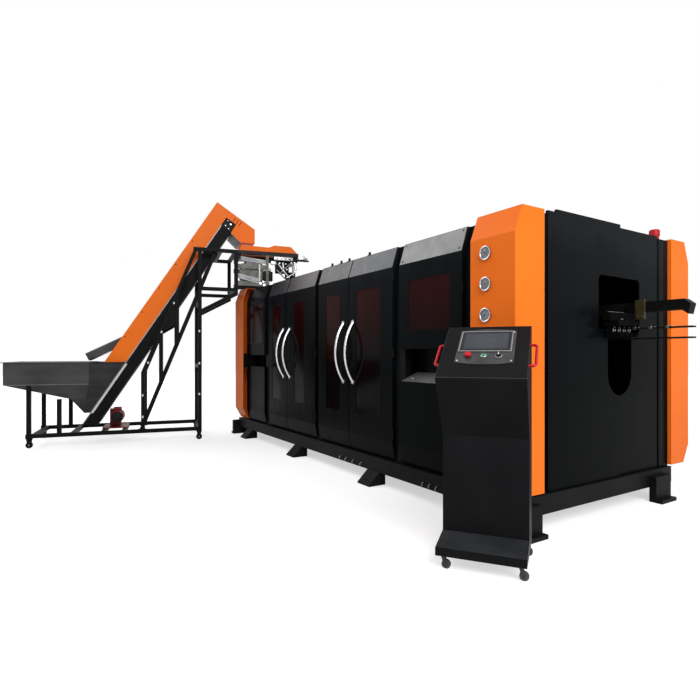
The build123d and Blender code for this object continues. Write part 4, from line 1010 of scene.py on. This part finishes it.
def add_sorter_fittings():
    """Adds the bright caps, rail, cylinders and clamps."""
    bright = bmesh.new()
    for s, z, radius in roller_caps:
        lathe_into(bright, [(0, 0), (radius, 0), (radius, 0.012), (radius * 0.7, 0.02), (0, 0.02)],
                   (sorter_w - 0.01, s, z), (1, 0, 0), 20)
    for strut in bright_struts:
        strut_into(bright, *strut)
    for fitting in (sorter_motor_cap, slotted_rail, rail_joint, end_sensor):
        fitting_into(bright, *fitting)
    for s, z in clamp_spots:
        fitting_into(bright, (-0.035, 0.001), (s - 0.012, s + 0.012), (z - 0.010, z + 0.010), 0.003)
    add_piece("sorter_fittings", bright, "bright_metal", place=elevator_place, smooth=True)


def add_sorter_drives():
    """Adds the dark motor, valve block, guards and the slots of the rail."""
    dark = bmesh.new()
    strut_into(dark, *dark_strut)
    for fitting in (valve_block, sorter_motor, upper_guard, lower_guard, roller_block, sensor_foot):
        fitting_into(dark, *fitting)
    for s in rail_slots:
        fitting_into(dark, (0.005, 0.0075), (s, s + 0.035), (2.595, 2.61), 0.0005)
    add_piece("sorter_drives", dark, "black_plastic", place=elevator_place, smooth=True)


def add_sorter_post():
    """Adds the white guide post."""
    white = bmesh.new()
    fitting_into(white, *guide_post)
    add_piece("sorter_post", white, "white_plastic", place=elevator_place)


# Console, drawn in its desk's axes: w to its right, t up the slope, h out of the desk,
# and for its shoe in upright axes: w, b to its back, z up

console_yaw = math.radians(35.27)
desk_slope = math.atan2(1.350 - 1.059, 0.392)
right = Vector((math.cos(console_yaw), math.sin(console_yaw), 0))
rear = Vector((-math.sin(console_yaw), math.cos(console_yaw), 0))
uphill = rear * math.cos(desk_slope) + Vector((0, 0, math.sin(desk_slope)))
desk_out = right.cross(uphill)
desk_origin = Vector((2.859, -1.493, 1.059))
console_foot = Vector((desk_origin.x, desk_origin.y, 0))
desk_half = 0.24
desk_top_t = 0.488
# Width of the strips of painted highlight on the desk's side edges
desk_highlight_width = 0.0012
shoe_front_z = 0.122
shoe_top_z = 0.158
shoe_back_b = 0.2
shoe_margin = 0.004
plate_top = 0.004
plate_screw_w = (-0.142, 0.15)
plate_screw_t = (0.146, 0.421)
screen_top = 0.009
screen_half = 0.144
screen_t = (0.232, 0.424)
glass_margins = (0.022, 0.02)
control_t = 0.188
selector_w = 0.082
start_w = 0.001
selector_profile = [(0.0085, 0), (0.019, 0), (0.019, 0.003), (0.016, 0.0045), (0.0085, 0.0045)]
start_profile = [(0.0115, 0), (0.0165, 0), (0.0165, 0.0055), (0.0145, 0.0068), (0.0115, 0.0068)]


def axes_place(first, second, third, origin):
    """Gives the placement of a set of axes at an origin."""
    return Matrix([[first[row], second[row], third[row], origin[row]] for row in range(3)] + [[0, 0, 0, 1]])


desk_place = axes_place(right, uphill, desk_out, desk_origin)
console_place = axes_place(right, rear, (0, 0, 1), console_foot)


def add_console_panel():
    """Adds the plate's corner screws, the screen's bezel and the glass, greyed by a painted reflection."""
    screws, bezel, glass = bmesh.new(), bmesh.new(), bmesh.new()
    spots = [(w, t, plate_top) for w in plate_screw_w for t in plate_screw_t]
    screws_into(screws, spots, (0, 0, 1), 0.006, 0.004)
    low, high = screen_t
    for bar in frame_bars(-screen_half, screen_half, low, high, 0.004, 0.003):
        box_into(bezel, (bar[0], bar[1], plate_top), (bar[2], bar[3], screen_top + 0.001), 0.001)
    box_into(glass, (-screen_half + glass_margins[0], low + glass_margins[1], screen_top - 0.0005),
             (screen_half - glass_margins[0], high - glass_margins[1], screen_top + 0.0006))
    add_piece("plate_screws", screws, "bright_metal", place=desk_place, smooth=True)
    add_piece("screen_bezel", bezel, "pale_edge", place=desk_place)
    add_piece("screen_glass", glass, "screen_painted_reflection", place=desk_place)


def add_desk_edge_highlights():
    """Adds thin strips of painted highlight along the desk's edges."""
    edges = bmesh.new()
    box_into(edges, (-desk_half, -0.0018, -0.001), (desk_half, 0.0006, 0.0006))
    for w in (-desk_half, desk_half - desk_highlight_width):
        box_into(edges, (w, 0.0, -0.001), (w + desk_highlight_width, desk_top_t, 0.0006))
    add_piece("desk_edge_highlights", edges, "panel_grey", place=desk_place)


def add_shoe_top_highlight():
    """Adds a thin skin of painted highlight on the top of the wheeled shoe."""
    shoe = bmesh.new()
    slope = Vector((0, shoe_back_b, shoe_top_z - shoe_front_z)).normalized()
    rise = Vector((0, -slope.z, slope.y)) * 0.001
    low = Vector((0, 0, shoe_front_z)) + slope * shoe_margin + rise * 0.3
    high = Vector((0, shoe_back_b, shoe_top_z)) - slope * shoe_margin + rise * 0.3
    outline = [(corner.y, corner.z) for corner in (low, high, high + rise, low + rise)]
    prism_into(shoe, outline, -desk_half + shoe_margin, desk_half - shoe_margin, side_axes)
    add_piece("shoe_top_highlight", shoe, "shoe_painted_highlight", place=console_place)


def add_console_controls():
    """Adds the collars of the selector and the start button, and the selector's mark."""
    collar, ring, mark = bmesh.new(), bmesh.new(), bmesh.new()
    lathe_into(collar, selector_profile, (selector_w, control_t, plate_top), (0, 0, 1), 28)
    lathe_into(ring, start_profile, (start_w, control_t, plate_top), (0, 0, 1), 28)
    box_into(mark, (0.0795, 0.178, 0.0225), (0.0845, 0.2005, 0.0255), 0.001)
    add_piece("selector_collar", collar, "pale_edge", place=desk_place, smooth=True)
    add_piece("start_collar", ring, "bright_metal", place=desk_place, smooth=True)
    add_piece("selector_mark", mark, "white_plastic", "selector", place=desk_place)


add_painted_shade_sheets()
add_gauges()
add_roof_lugs()
add_hinge_knuckles()
add_sill_lock()
add_infeed_window()
add_facets()
add_base_hooks()
add_carriage_bracket()
add_gripper_tips()
add_rail_clips()
add_end_wall_seam_highlight()
add_casing_flange()
add_belt_tensioner()
add_casing_fasteners()
add_hopper_flange()
add_cover_skirt()
add_hopper_beads()
add_chute_edge()
add_cover_slots()
add_discharge_sheet()
add_cable_clips()
add_gearmotor_end()
add_caster_wheels()
add_sorter_profiles()
add_sorter_fittings()
add_sorter_drives()
add_sorter_post()
add_console_panel()
add_desk_edge_highlights()
add_shoe_top_highlight()
add_console_controls()


# Floor and backdrop

floor_size = 60.0
floor_low = (0.52, 0.52, 0.52)
floor_high = (0.56, 0.56, 0.56)
fade_start = 2.5
fade_end = 9.0
fade_near = 0.56
fade_far = 0.95
sky_light = 0.5
sky_shown = 1.0


def seen_by_eye(tree):
    """Gives 1 for camera, glossy and transmission rays and 0 for the light on the object."""
    path = tree.nodes.new("ShaderNodeLightPath")
    seen = combine(tree, "MAXIMUM", path.outputs["Is Camera Ray"], path.outputs["Is Glossy Ray"])
    return combine(tree, "MAXIMUM", seen, path.outputs["Is Transmission Ray"])


def lift_floor(tree, shader):
    """Lets the floor fade to white away from the object, for the eye only."""
    place = tree.nodes.new("ShaderNodeTexCoord")
    distance = tree.nodes.new("ShaderNodeVectorMath")
    distance.operation = "LENGTH"
    tree.links.new(place.outputs["Object"], distance.inputs[0])
    fade = map_range(tree, distance.outputs["Value"], fade_start, fade_end, fade_near, fade_far)
    shader.inputs["Emission Color"].default_value = (1, 1, 1, 1)
    tree.links.new(combine(tree, "MULTIPLY", fade, seen_by_eye(tree)), shader.inputs["Emission Strength"])


def floor_finish():
    """Makes the pale floor's material."""
    material, tree, shader = new_material("floor_finish")
    tone = ramp(tree, noise(tree, 0.6, 3.0), floor_low, floor_high)
    tree.links.new(tone.outputs["Color"], shader.inputs["Base Color"])
    shader.inputs["Roughness"].default_value = 0.7
    shader.inputs["Specular IOR Level"].default_value = 0.05
    lift_floor(tree, shader)
    return material


bpy.ops.mesh.primitive_plane_add(size=floor_size, location=(0, 0, 0))
floor = bpy.context.object
floor.name = "floor"
floor.data.materials.append(floor_finish())

world = bpy.data.worlds.new("studio")
bpy.context.scene.world = world
world.use_nodes = True
sky = world.node_tree
background = sky.nodes["Background"]
background.inputs["Color"].default_value = (1, 1, 1, 1)
sky_level = map_range(sky, seen_by_eye(sky), 0.0, 1.0, sky_light, sky_shown)
sky.links.new(sky_level, background.inputs["Strength"])


# Light and camera

def area_light(name, place, aim, size, power):
    """Adds a soft square lamp that faces a point."""
    lamp = bpy.data.lights.new(name, "AREA")
    lamp.size = size
    lamp.energy = power
    holder = bpy.data.objects.new(name, lamp)
    bpy.context.scene.collection.objects.link(holder)
    holder.location = place
    holder.rotation_euler = (Vector(aim) - Vector(place)).to_track_quat("-Z", "Y").to_euler()


area_light("key", place=(8.5, -3.5, 6.5), aim=(0.5, -0.5, 1.0), size=5.0, power=650)
area_light("fill", place=(-7.3, -6.0, 8.2), aim=(0.0, -1.0, 1.5), size=7.0, power=400)
area_light("end", place=(9.5, -1.0, 3.5), aim=(2.6, 0.0, 1.2), size=4.0, power=200)

photo_size = 700.0
photo_focal = 509.0
photo_horizon = 355.0
sensor = 36.0
eye = (4.783, -3.52, 1.18)
view_direction = Vector((-0.846, 0.533, 0.0))
camera_data = bpy.data.cameras.new("camera")
camera_data.sensor_width = sensor
camera_data.lens = sensor * photo_focal / photo_size
camera_data.shift_y = (photo_horizon - photo_size / 2) / photo_size
camera_data.clip_end = 200.0
camera = bpy.data.objects.new("camera", camera_data)
bpy.context.scene.collection.objects.link(camera)
camera.location = eye
camera.rotation_euler = view_direction.to_track_quat("-Z", "Y").to_euler()
bpy.context.scene.camera = camera
bpy.context.scene.view_settings.view_transform = "Standard"
